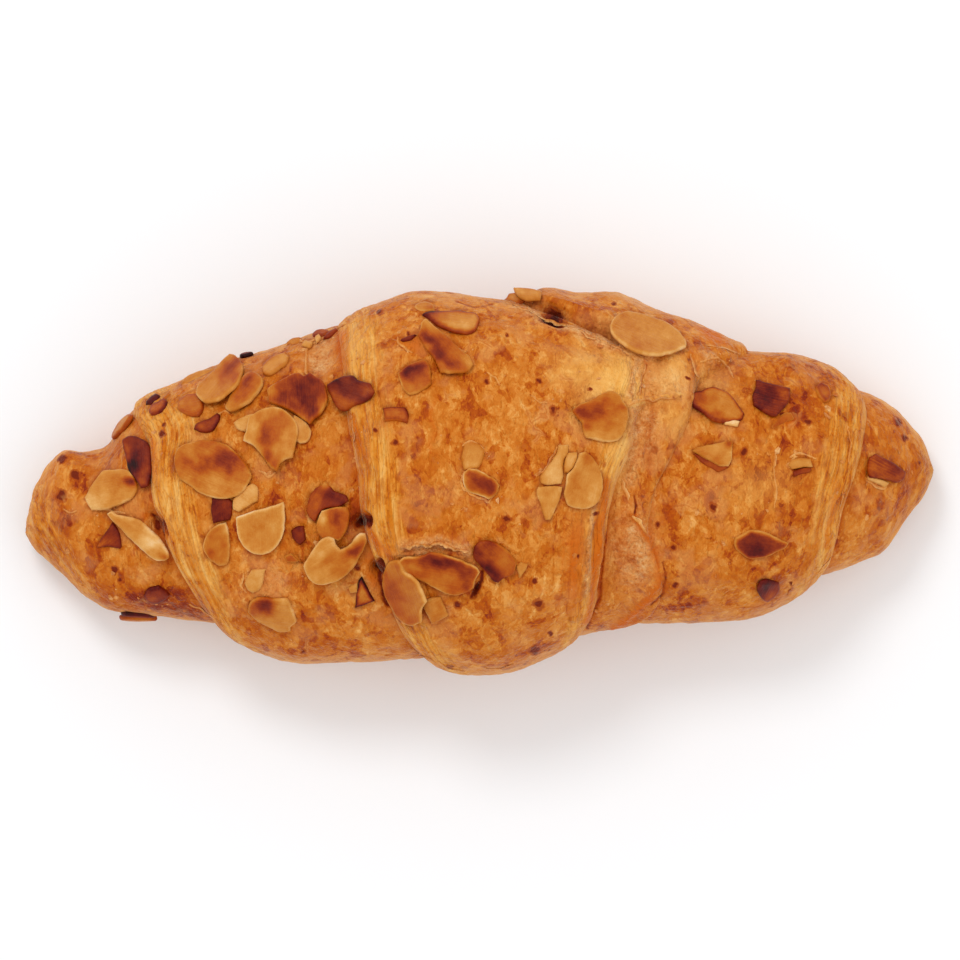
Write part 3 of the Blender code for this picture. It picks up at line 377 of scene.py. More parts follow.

# Each flake: toasting of its body (0 cream, 1 burnt), how much more its rim is toasted, lift over
# what it covers, direction of its grain and how clearly it shows, outline on the picture grid,
# toasted or paler spots (x, y, radius, change); some of the paler spots are painted highlights.
FLAKES = (
    (0.72, 0.1, 0.28, 95, 0.5, ((120, 438), (128, 434), (138, 436), (146, 441), (150, 452), (150, 470),
     (147, 484), (140, 486), (136, 480), (127, 468), (124, 455), (121, 445)), ((134, 453, 10, 0.18),
     (134, 462, 8, 0.12), (139, 480, 7, -0.08), (149, 455, 3.5, -0.08), (126, 444, 6, -0.12))),
    (0.36, -0.04, 0.4, 12, 0.5, ((83, 497), (90, 484), (101, 469), (112, 468), (125, 468), (131, 472),
     (136, 485), (131, 496), (118, 503), (104, 508), (90, 509), (86, 503)), ((92, 500, 10, -0.12),
     (134, 482, 6, 0.5), (112, 478, 10, 0.1), (120, 492, 8, 0.06))),
    (0.36, -0.08, 0.9, -38, 0.5, ((105, 513), (110, 510), (116, 514), (127, 516), (138, 519), (150, 529),
     (160, 539), (167, 551), (168, 557), (162, 560), (153, 559), (142, 550), (130, 539), (118, 527),
     (110, 519)), ((153, 545, 10, -0.22), (165, 557, 5, 0.3), (118, 519, 8, 0.05))),
    (0.76, 0.06, 0.0, 40, 0.5, ((94, 547), (105, 530), (111, 521), (118, 531), (120, 545), (118, 548),
     (106, 546)), ((98, 545, 5, -0.25),)),
    (0.8, 0.06, 0.0, 10, 0.5, ((143, 596), (148, 589), (158, 586), (166, 591), (170, 595), (164, 600),
     (155, 604), (146, 601)), ((150, 600, 5, -0.12),)),
    (0.56, 0.2, 0.0, 35, 0.5, ((147, 410), (150, 413), (158, 411), (164, 406), (166, 399), (163, 396),
     (155, 400), (149, 404)), ()),
    (0.88, 0.02, 0.1, 30, 0.5, ((144, 402), (148, 396), (155, 391), (160, 394), (156, 398), (150, 403)),
     ()),
    (0.56, 0.02, 0.0, 40, 0.5, ((161, 396), (167, 390), (170, 392), (164, 398)), ()),
    (0.48, 0.16, 0.0, 10, 0.5, ((176, 407), (177, 400), (184, 393), (194, 391), (201, 398), (203, 405),
     (198, 414), (190, 414), (182, 411)), ((190, 402, 8, 0.04),)),
    (0.46, -0.02, 0.5, 25, 0.5, ((179, 383), (183, 376), (195, 370), (206, 367), (214, 366), (208, 372),
     (195, 378), (184, 383)), ()),
    (0.49, -0.04, 0.9, 50, 0.5, ((195, 392), (197, 384), (206, 374), (214, 366), (221, 358), (228, 351),
     (233, 352), (239, 358), (242, 365), (241, 374), (236, 384), (228, 391), (219, 397), (208, 400),
     (201, 398)), ((233, 366, 7, 0.22), (213, 391, 10, -0.12), (223, 376, 6, 0.12), (236, 378, 5, 0.1))),
    (0.56, -0.06, 0.5, 48, 0.5, ((224, 405), (228, 396), (235, 385), (241, 375), (247, 370), (256, 371),
     (262, 376), (262, 382), (257, 391), (249, 400), (240, 405), (231, 409), (226, 408)),
     ((250, 378, 8, 0.2), (232, 402, 8, -0.12), (244, 392, 6, 0.06))),
    (0.36, 0.1, 0.2, 40, 0.5, ((260, 366), (265, 359), (274, 353), (283, 350), (288, 354), (286, 361),
     (277, 368), (268, 373), (262, 371)), ((266, 358, 6, 0.2),)),
    (0.7, 0.1, 0.1, 30, 0.5, ((192, 427), (196, 421), (207, 417), (216, 411), (219, 413), (217, 421),
     (211, 429), (200, 430)), ()),
    (0.5, -0.04, 0.5, -24, 0.7, ((173, 462), (174, 452), (180, 444), (190, 441), (202, 438), (216, 440),
     (228, 445), (239, 455), (247, 465), (251, 474), (246, 485), (237, 494), (226, 497), (211, 496),
     (198, 491), (187, 483), (178, 477)), ((222, 462, 13, 0.2), (236, 462, 9, 0.12), (205, 456, 12, 0.08),
     (222, 489, 14, -0.1), (184, 462, 8, 0.12), (190, 448, 9, -0.08))),
    (0.31, 0.0, 0.3, 5, 0.5, ((232, 421), (238, 417), (248, 413), (256, 411), (250, 424), (244, 430),
     (237, 428)), ()),
    (0.38, -0.02, 0.4, 100, 0.5, ((293, 413), (302, 418), (309, 426), (310, 434), (306, 440), (299, 442),
     (294, 438), (290, 425)), ()),
    (0.74, -0.1, 0.7, 92, 1.1, ((266, 388), (270, 384), (281, 377), (290, 373), (298, 371), (303, 374),
     (309, 370), (316, 375), (323, 380), (326, 390), (327, 398), (322, 409), (314, 417), (309, 422),
     (298, 414), (288, 408), (278, 404), (268, 400)), ((308, 393, 14, 0.14), (271, 390, 9, -0.2),
     (323, 405, 6, -0.22), (300, 417, 9, -0.16), (287, 396, 9, 0.04))),
    (0.76, 0.04, 0.5, -20, 0.5, ((325, 383), (335, 377), (346, 374), (351, 374), (357, 379), (368, 382),
     (372, 391), (368, 397), (360, 402), (350, 406), (343, 410), (336, 408), (329, 396), (326, 389)),
     ((344, 382, 9, 0.12), (345, 402, 7, -0.24), (366, 390, 5, -0.14), (332, 392, 5, -0.06))),
    (0.42, -0.08, 1.1, 80, 0.5, ((242, 439), (245, 428), (248, 416), (256, 410), (266, 406), (277, 406),
     (287, 411), (295, 421), (297, 430), (295, 442), (292, 456), (285, 458), (279, 463), (276, 470),
     (270, 466), (262, 455), (253, 445)), ((268, 432, 9, 0.26), (250, 432, 8, -0.08), (266, 456, 8, 0.3),
     (276, 464, 6, 0.2), (284, 418, 10, 0.12), (288, 436, 7, -0.06))),
    (0.84, 0.02, 0.0, 85, 0.5, ((211, 497), (220, 496), (228, 497), (232, 503), (231, 513), (229, 519),
     (219, 521), (212, 523), (210, 510)), ()),
    (0.26, 0.04, 0.3, -30, 0.5, ((232, 499), (243, 487), (252, 482), (257, 487), (257, 500), (248, 505),
     (238, 511), (232, 508)), ()),
    (0.37, -0.16, 0.6, 90, 0.5, ((235, 516), (250, 511), (266, 507), (283, 501), (284, 515), (283, 530),
     (278, 543), (270, 551), (261, 554), (250, 552), (241, 544), (236, 532)), ((262, 520, 8, 0.05),)),
    (0.5, -0.1, 0.2, 80, 0.5, ((202, 545), (205, 535), (211, 528), (219, 523), (225, 522), (227, 528),
     (229, 545), (228, 558), (226, 564), (218, 565), (210, 560), (204, 553)), ((208, 556, 5, 0.1),
     (226, 530, 4, -0.1))),
    (0.84, 0.02, 0.1, 40, 0.5, ((290, 530), (296, 526), (303, 525), (305, 540), (299, 545), (292, 538)),
     ()),
    (0.6, 0.0, 0.2, 10, 0.5, ((283, 556), (290, 552), (299, 560), (294, 562), (286, 561)), ()),
    (0.5, 0.0, 0.0, -50, 0.5, ((291, 553), (297, 554), (302, 563), (297, 560)), ()),
    (0.74, 0.02, 0.5, 60, 0.5, ((306, 511), (308, 497), (314, 488), (320, 484), (324, 480), (328, 484),
     (334, 490), (345, 494), (348, 500), (340, 505), (324, 508), (318, 514), (315, 521), (309, 517)),
     ((325, 483, 4, -0.36), (328, 496, 7, 0.12), (342, 499, 6, 0.12), (311, 512, 7, -0.1))),
    (0.54, -0.02, 0.9, 95, 0.5, ((321, 510), (335, 506), (346, 506), (349, 513), (348, 523), (345, 532),
     (338, 540), (330, 537), (322, 538), (316, 530), (316, 522)), ((338, 522, 8, 0.16), (322, 516, 5, -0.3),
     (326, 530, 6, -0.04))),
    (0.34, -0.08, 1.2, 30, 0.5, ((304, 570), (303, 565), (308, 556), (314, 547), (321, 539), (328, 536),
     (334, 538), (336, 545), (340, 549), (347, 546), (354, 538), (359, 533), (365, 533), (366, 542),
     (360, 555), (353, 567), (343, 577), (330, 583), (319, 585), (309, 580)), ((325, 559, 5, 0.16),
     (352, 551, 8, 0.38), (360, 541, 6, 0.2), (340, 562, 9, 0.14), (345, 570, 8, 0.08))),
    (0.55, 0.4, 0.0, 60, 0.5, ((354, 608), (358, 580), (361, 576), (368, 590), (374, 601), (361, 606)),
     ((362, 595, 8, -0.12),)),
    (0.3, 0.0, 0.0, 0, 0.5, ((347, 587), (357, 582), (357, 592), (350, 593)), ()),
    (0.32, -0.02, 0.0, 20, 0.5, ((243, 583), (247, 575), (251, 569), (265, 568), (263, 575), (260, 588),
     (252, 593), (246, 589)), ()),
    (0.41, -0.04, 0.2, -10, 0.5, ((247, 612), (249, 603), (257, 598), (273, 599), (287, 599), (292, 610),
     (296, 622), (289, 628), (289, 632), (278, 632), (267, 627), (256, 621)), ((262, 605, 7, 0.34),
     (268, 600, 6, 0.22), (256, 612, 5, 0.1), (282, 612, 8, -0.06))),
    (0.57, -0.06, 0.7, 110, 0.5, ((384, 568), (388, 562), (396, 560), (399, 562), (402, 570), (408, 575),
     (416, 582), (421, 592), (425, 602), (420, 610), (420, 622), (411, 626), (404, 625), (395, 617),
     (388, 606), (383, 595), (381, 583)), ((388, 590, 9, 0.1), (411, 596, 11, -0.08), (392, 566, 5, -0.1))),
    (0.64, -0.1, 1.0, -10, 0.5, ((398, 561), (404, 557), (420, 556), (430, 552), (442, 554), (455, 558),
     (465, 562), (476, 567), (479, 572), (475, 580), (473, 588), (465, 592), (455, 595), (447, 594),
     (436, 589), (425, 583), (416, 579), (408, 574), (403, 569)), ((428, 559, 10, 0.18),
     (448, 561, 9, 0.14), (412, 566, 7, -0.14), (440, 586, 12, -0.12), (466, 576, 7, 0.06))),
    (0.62, 0.04, 0.3, -45, 0.5, ((474, 547), (478, 542), (484, 540), (492, 541), (500, 545), (508, 551),
     (514, 558), (516, 563), (514, 572), (510, 576), (503, 578), (498, 583), (493, 581), (487, 574),
     (479, 565), (473, 557)), ((486, 566, 7, 0.24), (497, 577, 7, 0.22), (500, 555, 9, -0.06),
     (479, 548, 6, 0.2), (490, 545, 6, 0.12))),
    (0.34, 0.0, 0.0, 20, 0.5, ((516, 566), (521, 562), (528, 564), (524, 572), (519, 578)), ()),
    (0.47, -0.04, 0.3, 20, 0.5, ((424, 601), (431, 598), (440, 597), (444, 606), (448, 616), (440, 620),
     (431, 625), (427, 616), (423, 607)), ((432, 620, 6, 0.08),)),
    (0.58, -0.2, 0.1, -28, 0.5, ((463, 472), (468, 467), (478, 469), (487, 474), (494, 478), (499, 484),
     (497, 491), (488, 499), (480, 495), (470, 492), (465, 488), (462, 480)), ((478, 481, 11, 0.14),
     (489, 487, 6, 0.1))),
    (0.36, 0.1, -0.1, 70, 0.5, ((464, 443), (472, 441), (479, 443), (484, 450), (482, 460), (478, 467),
     (463, 469), (461, 455)), ()),
    (0.28, 0.04, 0.1, 80, 0.5, ((558, 444), (568, 443), (568, 452), (564, 458), (563, 466), (563, 475),
     (561, 483), (548, 484), (540, 482), (540, 475), (545, 468), (551, 460), (556, 452)),
     ((550, 476, 6, -0.1),)),
    (0.32, 0.04, 0.3, 90, 0.5, ((538, 486), (550, 485), (562, 486), (561, 493), (558, 502), (554, 511),
     (550, 519), (545, 519), (542, 510), (539, 500), (536, 492)), ((549, 491, 6, 0.08),
     (544, 516, 4, 0.12))),
    (0.37, -0.02, 0.5, 75, 0.5, ((566, 500), (564, 492), (566, 484), (567, 474), (571, 470), (576, 462),
     (579, 453), (585, 451), (591, 455), (598, 464), (602, 474), (603, 486), (600, 498), (593, 506),
     (585, 508), (575, 507), (568, 504)), ((587, 456, 5, 0.16), (577, 480, 8, 0.07), (592, 485, 9, -0.05))),
    (0.33, 0.06, 0.3, 70, 0.5, ((568, 451), (577, 451), (577, 458), (573, 466), (568, 472), (564, 471),
     (564, 463), (565, 457)), ()),
    (0.47, -0.04, 0.6, -10, 0.5, ((572, 409), (579, 403), (590, 399), (600, 393), (612, 389), (620, 393),
     (624, 400), (628, 408), (628, 420), (624, 432), (617, 439), (605, 440), (594, 438), (586, 436),
     (583, 430), (582, 422), (577, 416)), ((594, 403, 9, 0.18), (580, 412, 8, 0.26), (623, 409, 5, 0.16),
     (598, 432, 8, -0.16), (617, 434, 6, -0.12), (604, 418, 8, 0.04), (584, 426, 4, 0.2))),
    (0.34, 0.1, 1.2, -4, 0.5, ((512, 285), (527, 286), (541, 289), (539, 297), (526, 298), (516, 293)), ()),
    (0.4, 0.16, 0.8, 10, 0.5, ((504, 298), (508, 291), (518, 291), (525, 298), (515, 303)), ()),
    (0.46, 0.06, 0.6, 30, 0.5, ((285, 341), (291, 336), (300, 335), (300, 341), (292, 345)), ()),
    (0.3, 0.02, 0.5, 10, 0.5, ((300, 343), (304, 337), (312, 340), (309, 345)), ()),
    (0.7, 0.04, 0.4, 35, 0.5, ((321, 337), (326, 331), (335, 325), (337, 328), (330, 334)), ()),
    (0.28, 0.02, 0.5, 60, 0.5, ((313, 335), (318, 331), (321, 335), (316, 340)), ()),
    (0.48, 0.02, 0.0, 0, 0.5, ((413, 304), (423, 299), (432, 302), (435, 308), (420, 309)), ()),
    (0.33, 0.3, 0.2, -6, 0.5, ((421, 312), (430, 309), (443, 309), (459, 308), (468, 310), (476, 311),
     (479, 317), (478, 323), (474, 329), (466, 331), (457, 330), (446, 327), (436, 322), (428, 316)),
     ((430, 313, 8, 0.4), (457, 311, 11, 0.18), (464, 322, 8, -0.08))),
    (0.49, 0.02, 0.5, -50, 0.5, ((417, 332), (420, 325), (421, 319), (425, 316), (430, 320), (438, 327),
     (450, 337), (460, 347), (468, 353), (473, 361), (470, 367), (463, 370), (450, 371), (440, 370),
     (436, 361), (432, 354), (425, 346)), ((429, 338, 7, 0.32), (439, 353, 7, 0.3), (453, 362, 8, 0.24),
     (428, 322, 6, -0.08), (468, 364, 5, -0.16), (446, 340, 5, 0.12))),
    (0.57, -0.04, 0.3, 15, 0.5, ((397, 371), (406, 364), (417, 359), (425, 357), (429, 365), (431, 382),
     (424, 387), (414, 392), (408, 393), (402, 386)), ((418, 366, 8, 0.26), (406, 372, 7, 0.22),
     (410, 386, 6, -0.1))),
    (0.62, 0.16, 0.0, 0, 0.5, ((382, 406), (395, 405), (405, 406), (408, 414), (406, 422), (395, 419),
     (384, 420)), ((395, 412, 6, -0.08),)),
    (0.8, 0.04, 0.0, 15, 0.5, ((399, 337), (408, 334), (416, 332), (411, 337), (402, 339)), ()),
    (0.4, -0.04, 0.9, -25, 0.6, ((610, 326), (612, 318), (618, 312), (626, 309), (638, 310), (648, 313),
     (660, 317), (670, 322), (680, 330), (686, 339), (686, 344), (678, 348), (668, 351), (655, 353),
     (641, 351), (631, 347), (620, 340), (613, 333)), ((640, 338, 14, 0.05), (670, 338, 10, -0.06),
     (625, 318, 8, 0.06))),
    (0.47, 0.26, 0.2, -25, 0.5, ((690, 398), (692, 391), (700, 389), (712, 385), (720, 387), (728, 391),
     (734, 397), (738, 403), (744, 412), (742, 418), (736, 420), (722, 421), (713, 419), (706, 414),
     (699, 409), (692, 404)), ((718, 404, 8, -0.08), (700, 394, 7, 0.16), (717, 414, 6, 0.12),
     (695, 402, 6, 0.12))),
    (0.04, 0.1, 0.3, -10, 0.5, ((724, 420), (731, 418), (739, 419), (737, 425), (730, 424), (724, 423)),
     ()),
    (0.78, 0.04, 0.3, -12, 1.2, ((756, 377), (768, 381), (780, 384), (790, 386), (790, 395), (787, 402),
     (782, 408), (776, 414), (769, 413), (760, 408), (753, 403), (752, 394), (755, 386)),
     ((768, 396, 9, 0.12), (784, 390, 6, -0.1), (760, 384, 6, -0.08))),
    (0.6, 0.0, -0.3, 40, 0.5, ((770, 426), (776, 418), (784, 411), (791, 411), (795, 418), (787, 421),
     (778, 425), (773, 428)), ()),
    # A dark flake lying under the next one; it also stands for the shade that the next one casts.
    (0.7, 0.0, -0.1, -20, 0.5, ((692, 452), (704, 454), (722, 458), (731, 462), (727, 467), (718, 471),
     (709, 466), (700, 460)), ()),
    (0.34, 0.0, 0.3, 5, 0.5, ((691, 449), (698, 446), (706, 444), (716, 442), (726, 440), (733, 440),
     (732, 450), (731, 459), (728, 465), (720, 465), (712, 461), (703, 456), (696, 452)),
     ((729, 443, 6, 0.3), (700, 452, 6, 0.14), (716, 460, 6, 0.16))),
    (0.34, 0.06, 0.3, 10, 0.5, ((788, 464), (792, 459), (802, 457), (811, 458), (813, 466), (802, 467),
     (792, 469)), ()),
    (0.7, 0.0, -0.1, 10, 0.5, ((792, 470), (802, 466), (812, 466), (810, 470), (800, 473), (794, 475)), ()),
    (0.8, -0.3, 0.1, -8, 0.5, ((734, 545), (735, 538), (742, 534), (749, 530), (758, 530), (768, 533),
     (778, 538), (789, 543), (785, 548), (776, 552), (768, 556), (757, 558), (748, 558), (741, 553),
     (736, 549)), ((752, 548, 9, 0.12), (770, 540, 8, -0.06))),
    (0.8, 0.02, 0.1, 60, 0.5, ((760, 582), (767, 580), (779, 583), (780, 590), (776, 597), (768, 603),
     (761, 598), (757, 590)), ((764, 585, 5, 0.18), (772, 595, 5, -0.2))),
    (0.22, 0.0, 0.0, -12, 0.5, ((868, 475), (880, 478), (891, 482), (885, 487), (878, 483), (868, 479)),
     ()),
    (0.7, 0.04, 0.5, -28, 1.6, ((870, 456), (876, 453), (885, 457), (893, 461), (900, 466), (907, 471),
     (905, 478), (898, 482), (890, 480), (880, 478), (870, 477), (868, 468)), ((896, 468, 7, 0.08),
     (873, 470, 5, -0.1))),
    (0.66, 0.1, 0.0, -60, 0.5, ((815, 384), (821, 380), (828, 383), (831, 392), (829, 399), (824, 400),
     (818, 393)), ((823, 390, 4, -0.1),)),
)
# Almonds seen edge-on at the sides: toasting, X, height, side (1 is the back), length, width, turn,
# and how far they stand out.
SIDE_FLAKES = (
    (0.44, -62.1, 11.0, -1, 7.0, 4.6, 4, 1.2), (0.74, -62.1, 12.5, -1, 6.4, 4.0, 6, 0.5),
    (0.46, -64.6, 15.5, 1, 7.0, 4.6, 25, 0.7), (0.8, -42.2, 19.5, 1, 2.6, 2.0, 10, 0.8),
    (0.6, -28.6, 22.0, 1, 3.6, 2.6, 25, 0.5),
)


# ---- the rolled turns

def smooth_curve(points):
    """A smooth function through (place, value) points, level past both ends."""
    places, values = np.array(points, float).T
    slopes = np.gradient(values, places)

    def value_at(place):
        place = np.clip(place, places[0], places[-1])
        i = np.clip(np.searchsorted(places, place) - 1, 0, len(places) - 2)
        span = places[i + 1] - places[i]
        t = (place - places[i]) / span
        start = values[i] * (1 + 2 * t) * (1 - t) ** 2 + slopes[i] * span * t * (1 - t) ** 2
        end = values[i + 1] * t * t * (3 - 2 * t) - slopes[i + 1] * span * t * t * (1 - t)
        return start + end

    return value_at


def edge_drop(drop, angle):
    """How far the surface falls to an edge, between its values at the back and at the front."""
    at_back, at_front = drop
    return at_back + (at_front - at_back) * (1 - np.cos(np.radians(angle))) / 2


class Turn:
    """One turn of the rolled dough, with the edges that it shows."""

    def __init__(self, stations, left=(), right=(), drops=((0, 0), (0, 0)), strips=(0, 0)):
        columns = list(zip(*stations))
        self.back, self.front, self.top, self.low = (
            smooth_curve(list(zip(columns[0], values))) for values in columns[1:])
        self.drops = drops
        self.strips = strips
        self.left = self.edge(left, drops[0])
        self.right = self.edge(right, drops[1])

    def edge(self, plan_points, drop):
        """X of an edge against the angle around the section, closed across the underside."""
        if not plan_points:
            return None
        spots = []
        for x, y in plan_points:
            rough_angle = self.angle_at(x, y, sum(drop) / 2)
            angle = float(self.angle_at(x, y, edge_drop(drop, rough_angle)))
            if spots:
                angle = max(angle, spots[-1][0] + LEAST_TURN)
            spots.append((angle, x))
        over = smooth_curve(spots)
        first, last = plan_points[0][0], plan_points[-1][0]

        def x_at(angle):
            share = 0.5 - 0.5 * np.cos(np.radians(angle - 180))
            return np.where(angle <= 180, over(angle), last + (first - last) * share)

        return x_at

    def angle_at(self, x, y, inset):
        """The angle around the section, 0 at the back, of a point seen from above."""
        back, front = self.back(x) - inset, self.front(x) + inset
        across = (2 * y - back - front) / (back - front)
        return np.degrees(np.arccos(np.clip(across, -1, 1)))

    def inset_at(self, angle, from_left, from_right):
        """How far the surface has sunk below the full section, near the two edges."""
        sunk = np.zeros_like(from_left)
        for gap, drop, strip in zip((from_left, from_right), self.drops, self.strips):
            if strip:
                share = np.clip(1 - gap / strip, 0, 1)
                sunk += edge_drop(drop, angle) * (1 - np.sqrt(1 - share * share))
                sunk += TUCK_DEPTH * np.clip(-gap / TUCK, 0, 1)
        return sunk

    def points(self, x, angle, inset):
        """Points of the sections at x, in millimetres, and the way outwards from each."""
        back, front, top, low = self.back(x), self.front(x), self.top(x), self.low(x)
        middle, half = (back + front) / 2, (back - front) / 2 - inset
        waist = np.maximum(low, 0) + WAIST * (top - np.maximum(low, 0))
        across, up = np.cos(np.radians(angle)), np.sin(np.radians(angle))
        power = 2 / BELLY_SHARPNESS
        below = up < 0
        across = np.where(below, np.copysign(np.abs(across) ** power, across), across)
        up = np.where(below, -np.abs(up) ** power, up)
        reach = np.where(up > 0, top - inset - waist, waist - low - np.minimum(inset, UNDERSIDE_DROP))
        here = np.stack([x, middle + half * across, waist + reach * up], axis=-1)
        return here, np.stack([np.zeros_like(x), across, up], axis=-1)


# ---- random fields

def lattice_noise(points, size, seed):
    """Smooth random values from -1 to 1 at each point, features about size apart."""
    spot = np.asarray(points, float) / np.asarray(size, float)
    cell = np.floor(spot).astype(np.int64)
    t = spot - cell
    t = t * t * (3 - 2 * t)
    total = np.zeros(spot.shape[:-1])
    for corner in np.ndindex(*(2,) * spot.shape[-1]):
        key = np.full(spot.shape[:-1], seed * 7919 + 13, np.int64)
        weight = np.ones(spot.shape[:-1])
        for axis, side in enumerate(corner):
            key = (key * 1103515245 + (cell[..., axis] + side) * 12345 + 40503) & 0x7FFFFFFF
            key = (key ^ (key >> 13)) * 1274126177 & 0x7FFFFFFF
            weight = weight * (t[..., axis] if side else 1 - t[..., axis])
        key = (key ^ (key >> 15)) * 668265263 & 0x7FFFFFFF
        total += weight * ((key ^ (key >> 11)) % 65536 / 32767.5 - 1)
    return total


def lattice_shift(points, size, seed):
    """A random shift across the plan for each point, the same for near ones."""
    return np.stack([lattice_noise(points, size, seed), lattice_noise(points, size, seed + 1)], -1)


def broad_bumps(points):
    """The same broad bumps that the solid has."""
    flat = (points / BUMP_SIZE).reshape(-1, 3)
    values = [noise.noise(Vector(spot)) for spot in flat.tolist()]
    return np.array(values).reshape(points.shape[:-1]) * BUMP_HEIGHT


def patch_share(points, x, y, half_length, half_width, turn):
    """1 in the middle of a soft-edged oval seen from above, 0 outside it."""
    cos, sin = math.cos(math.radians(turn)), math.sin(math.radians(turn))
    dx, dy = points[..., 0] - x, points[..., 1] - y
    along, across = (dx * cos + dy * sin) / half_length, (dy * cos - dx * sin) / half_width
    distance = np.sqrt(along ** 2 + across ** 2)
    return np.clip(1.35 - distance * 0.9, 0, 1) ** 1.5


def line_distance(points, line):
    """How far each point lies, seen from above, from the nearest stretch of a line."""
    nearest = np.full(points.shape[:-1], np.inf)
    line = np.array(line, float)
    for start, end in zip(line, line[1:]):
        way = end - start
        share = np.clip(((points[..., :2] - start) @ way) / (way @ way), 0, 1)
        away = points[..., :2] - start - share[..., None] * way
        nearest = np.minimum(nearest, np.linalg.norm(away, axis=-1))
    return nearest


def on_grid(x, y, height):
    """The place in millimetres of a spot of the picture grid, at a height over the table."""
    nearness = (VIEW_DISTANCE / MM - height) / (VIEW_DISTANCE / MM - WIDEST_LINE / MM)
    return (x - GRID_MIDDLE[0]) * PIXEL * nearness, (GRID_MIDDLE[1] - y) * PIXEL * nearness


def grid_line(line):
    """A line of the picture grid in millimetres."""
    return [on_grid(x, y, LINE_LEVEL) for x, y in line]


def ease(value, low, high):
    """A smooth step: 0 at low, 1 at high."""
    share = np.clip((value - low) / (high - low), 0, 1)
    return share * share * (3 - 2 * share)


# ---- meshes and their fields

def new_piece(name, data):
    """A new object in the scene, with its mesh, camera or light."""
    piece = bpy.data.objects.new(name, data)
    bpy.context.scene.collection.objects.link(piece)
    return piece


def set_field(mesh, name, values, kind="FLOAT"):
    """Stores a number or a vector for each point of a mesh, which its material reads."""
    layer = mesh.attributes.new(name, kind, "POINT")
    key = "vector" if kind == "FLOAT_VECTOR" else "value"
    layer.data.foreach_set(key, np.asarray(values, np.float32).reshape(-1))


def mesh_points(mesh):
    """The points of a mesh, in metres."""
    spots = np.empty(len(mesh.vertices) * 3)
    mesh.vertices.foreach_get("co", spots)
    return spots.reshape(-1, 3)


def closed_mesh(name, points, fields):
    """A closed mesh through a grid of points, with a fan of faces at each end."""
    rows, around = points.shape[:2]
    spots = np.concatenate([points.reshape(-1, 3), points[0].mean(0)[None], points[-1].mean(0)[None]])
    index = np.arange(rows * around).reshape(rows, around)
    following = np.roll(index, -1, axis=1)
    quads = np.stack([index[:-1], following[:-1], following[1:], index[1:]], -1).reshape(-1, 4)
    first_pole, last_pole = rows * around, rows * around + 1
    first_fan = [(b, a, first_pole) for a, b in zip(index[0], following[0])]
    last_fan = [(a, b, last_pole) for a, b in zip(index[-1], following[-1])]
    mesh = bpy.data.meshes.new(name)
    mesh.from_pydata((spots * MM).tolist(), [], quads.tolist() + first_fan + last_fan)
    for field, values in fields.items():
        ends = [values[0].mean(), values[-1].mean()]
        set_field(mesh, field, np.concatenate([values.reshape(-1), ends]))
    mesh.shade_smooth()
    mesh.update()
    return new_piece(name, mesh)


# ---- dough: meshes

def spread_counts(counts):
    """Angles round the section, with one number of them over the roll and another under it."""
    over, under = counts
    return np.concatenate([np.linspace(0, 180, over, endpoint=False),
                           np.linspace(180, 360, under, endpoint=False)])


def grid_normals(points):
    """Outward normals of a grid of points that closes round its second direction."""
    along = np.gradient(points, axis=0)
    around = np.roll(points, -1, axis=1) - np.roll(points, 1, axis=1)
    normals = np.cross(around, along)
    normals /= np.linalg.norm(normals, axis=-1, keepdims=True) + 1e-9
    return normals


def strip_grid(turn, start, end, angles, shows_left, shows_right):
    """X of every point between two ends, with closer points along the edges that show."""
    left_strip = turn.strips[0] if shows_left else 0.0
    right_strip = turn.strips[1] if shows_right else 0.0
    left_steps = np.arange(-TUCK, left_strip, LAYER_STEP) if shows_left else np.array([0.0])
    right_steps = np.arange(-TUCK, right_strip, LAYER_STEP)[::-1] if shows_right else np.array([0.0])
    x_start, x_end = start(angles), end(angles)
    inner_left, inner_right = x_start + left_strip, x_end - right_strip
    count = max(4, int(np.max(inner_right - inner_left) / FINE_STEP))
    shares = (np.arange(count) + 0.5) / count
    rows = [x_start + step for step in left_steps]
    rows += [inner_left + (inner_right - inner_left) * share for share in shares]
    rows += [x_end - step for step in right_steps]
    return np.array(rows)


def tip_grid(start, end, angles, rows, tip):
    """X of every point of a tip, with rows that crowd towards its very end."""
    share = np.linspace(0, 1, rows)[:, None]
    if tip > 0:
        crowd = np.sin(share * np.pi / 2) ** TIP_CROWDING
    else:
        crowd = 1 - np.sin((1 - share) * np.pi / 2) ** TIP_CROWDING
    return start(angles) + (end(angles) - start(angles)) * crowd


def round_tip(points, tip):
    """Draws the last rows of a tip together, so that its very end is round."""
    end_rows = points[:TIP_ROUNDING] if tip > 0 else points[::-1][:TIP_ROUNDING]
    pull = np.sqrt(1 - (1 - (np.arange(TIP_ROUNDING) + 0.15) / TIP_ROUNDING) ** 2)[:, None, None]
    centre = end_rows.mean(1, keepdims=True)
    end_rows[..., 1:] = (centre + (end_rows - centre) * pull)[..., 1:]


def way_round(angle):
    """How far round the section an angle lies, in millimetres, the same on both sides of it."""
    return np.radians(np.minimum(angle, 360 - angle)) * MEAN_RADIUS


def layer_fields(gap, strip, angle_grid, seed):
    """Mask, position across and height of the layers along one edge."""
    along = way_round(angle_grid)
    wander = lattice_noise(np.stack([gap * 0.25, along], -1), (1.0, 9.0), seed) * 0.5
    across = gap + wander
    border = wander * 2.6 + lattice_noise(np.stack([gap, along], -1), (0.5, 3.0), seed + 7) * 1.1
    mask = ease(strip * 1.02 - gap + border, -0.8, 1.8) * ease(gap, -TUCK, -0.2)
    spots = np.stack([across / LAYER_PITCH, along / LAYER_LENGTH], -1)
    ridge = lattice_noise(spots, 1.0, seed + 3) + 0.5 * lattice_noise(spots * (2.1, 1.7), 1.0, seed + 5)
    return mask, across, ridge * LAYER_HEIGHT


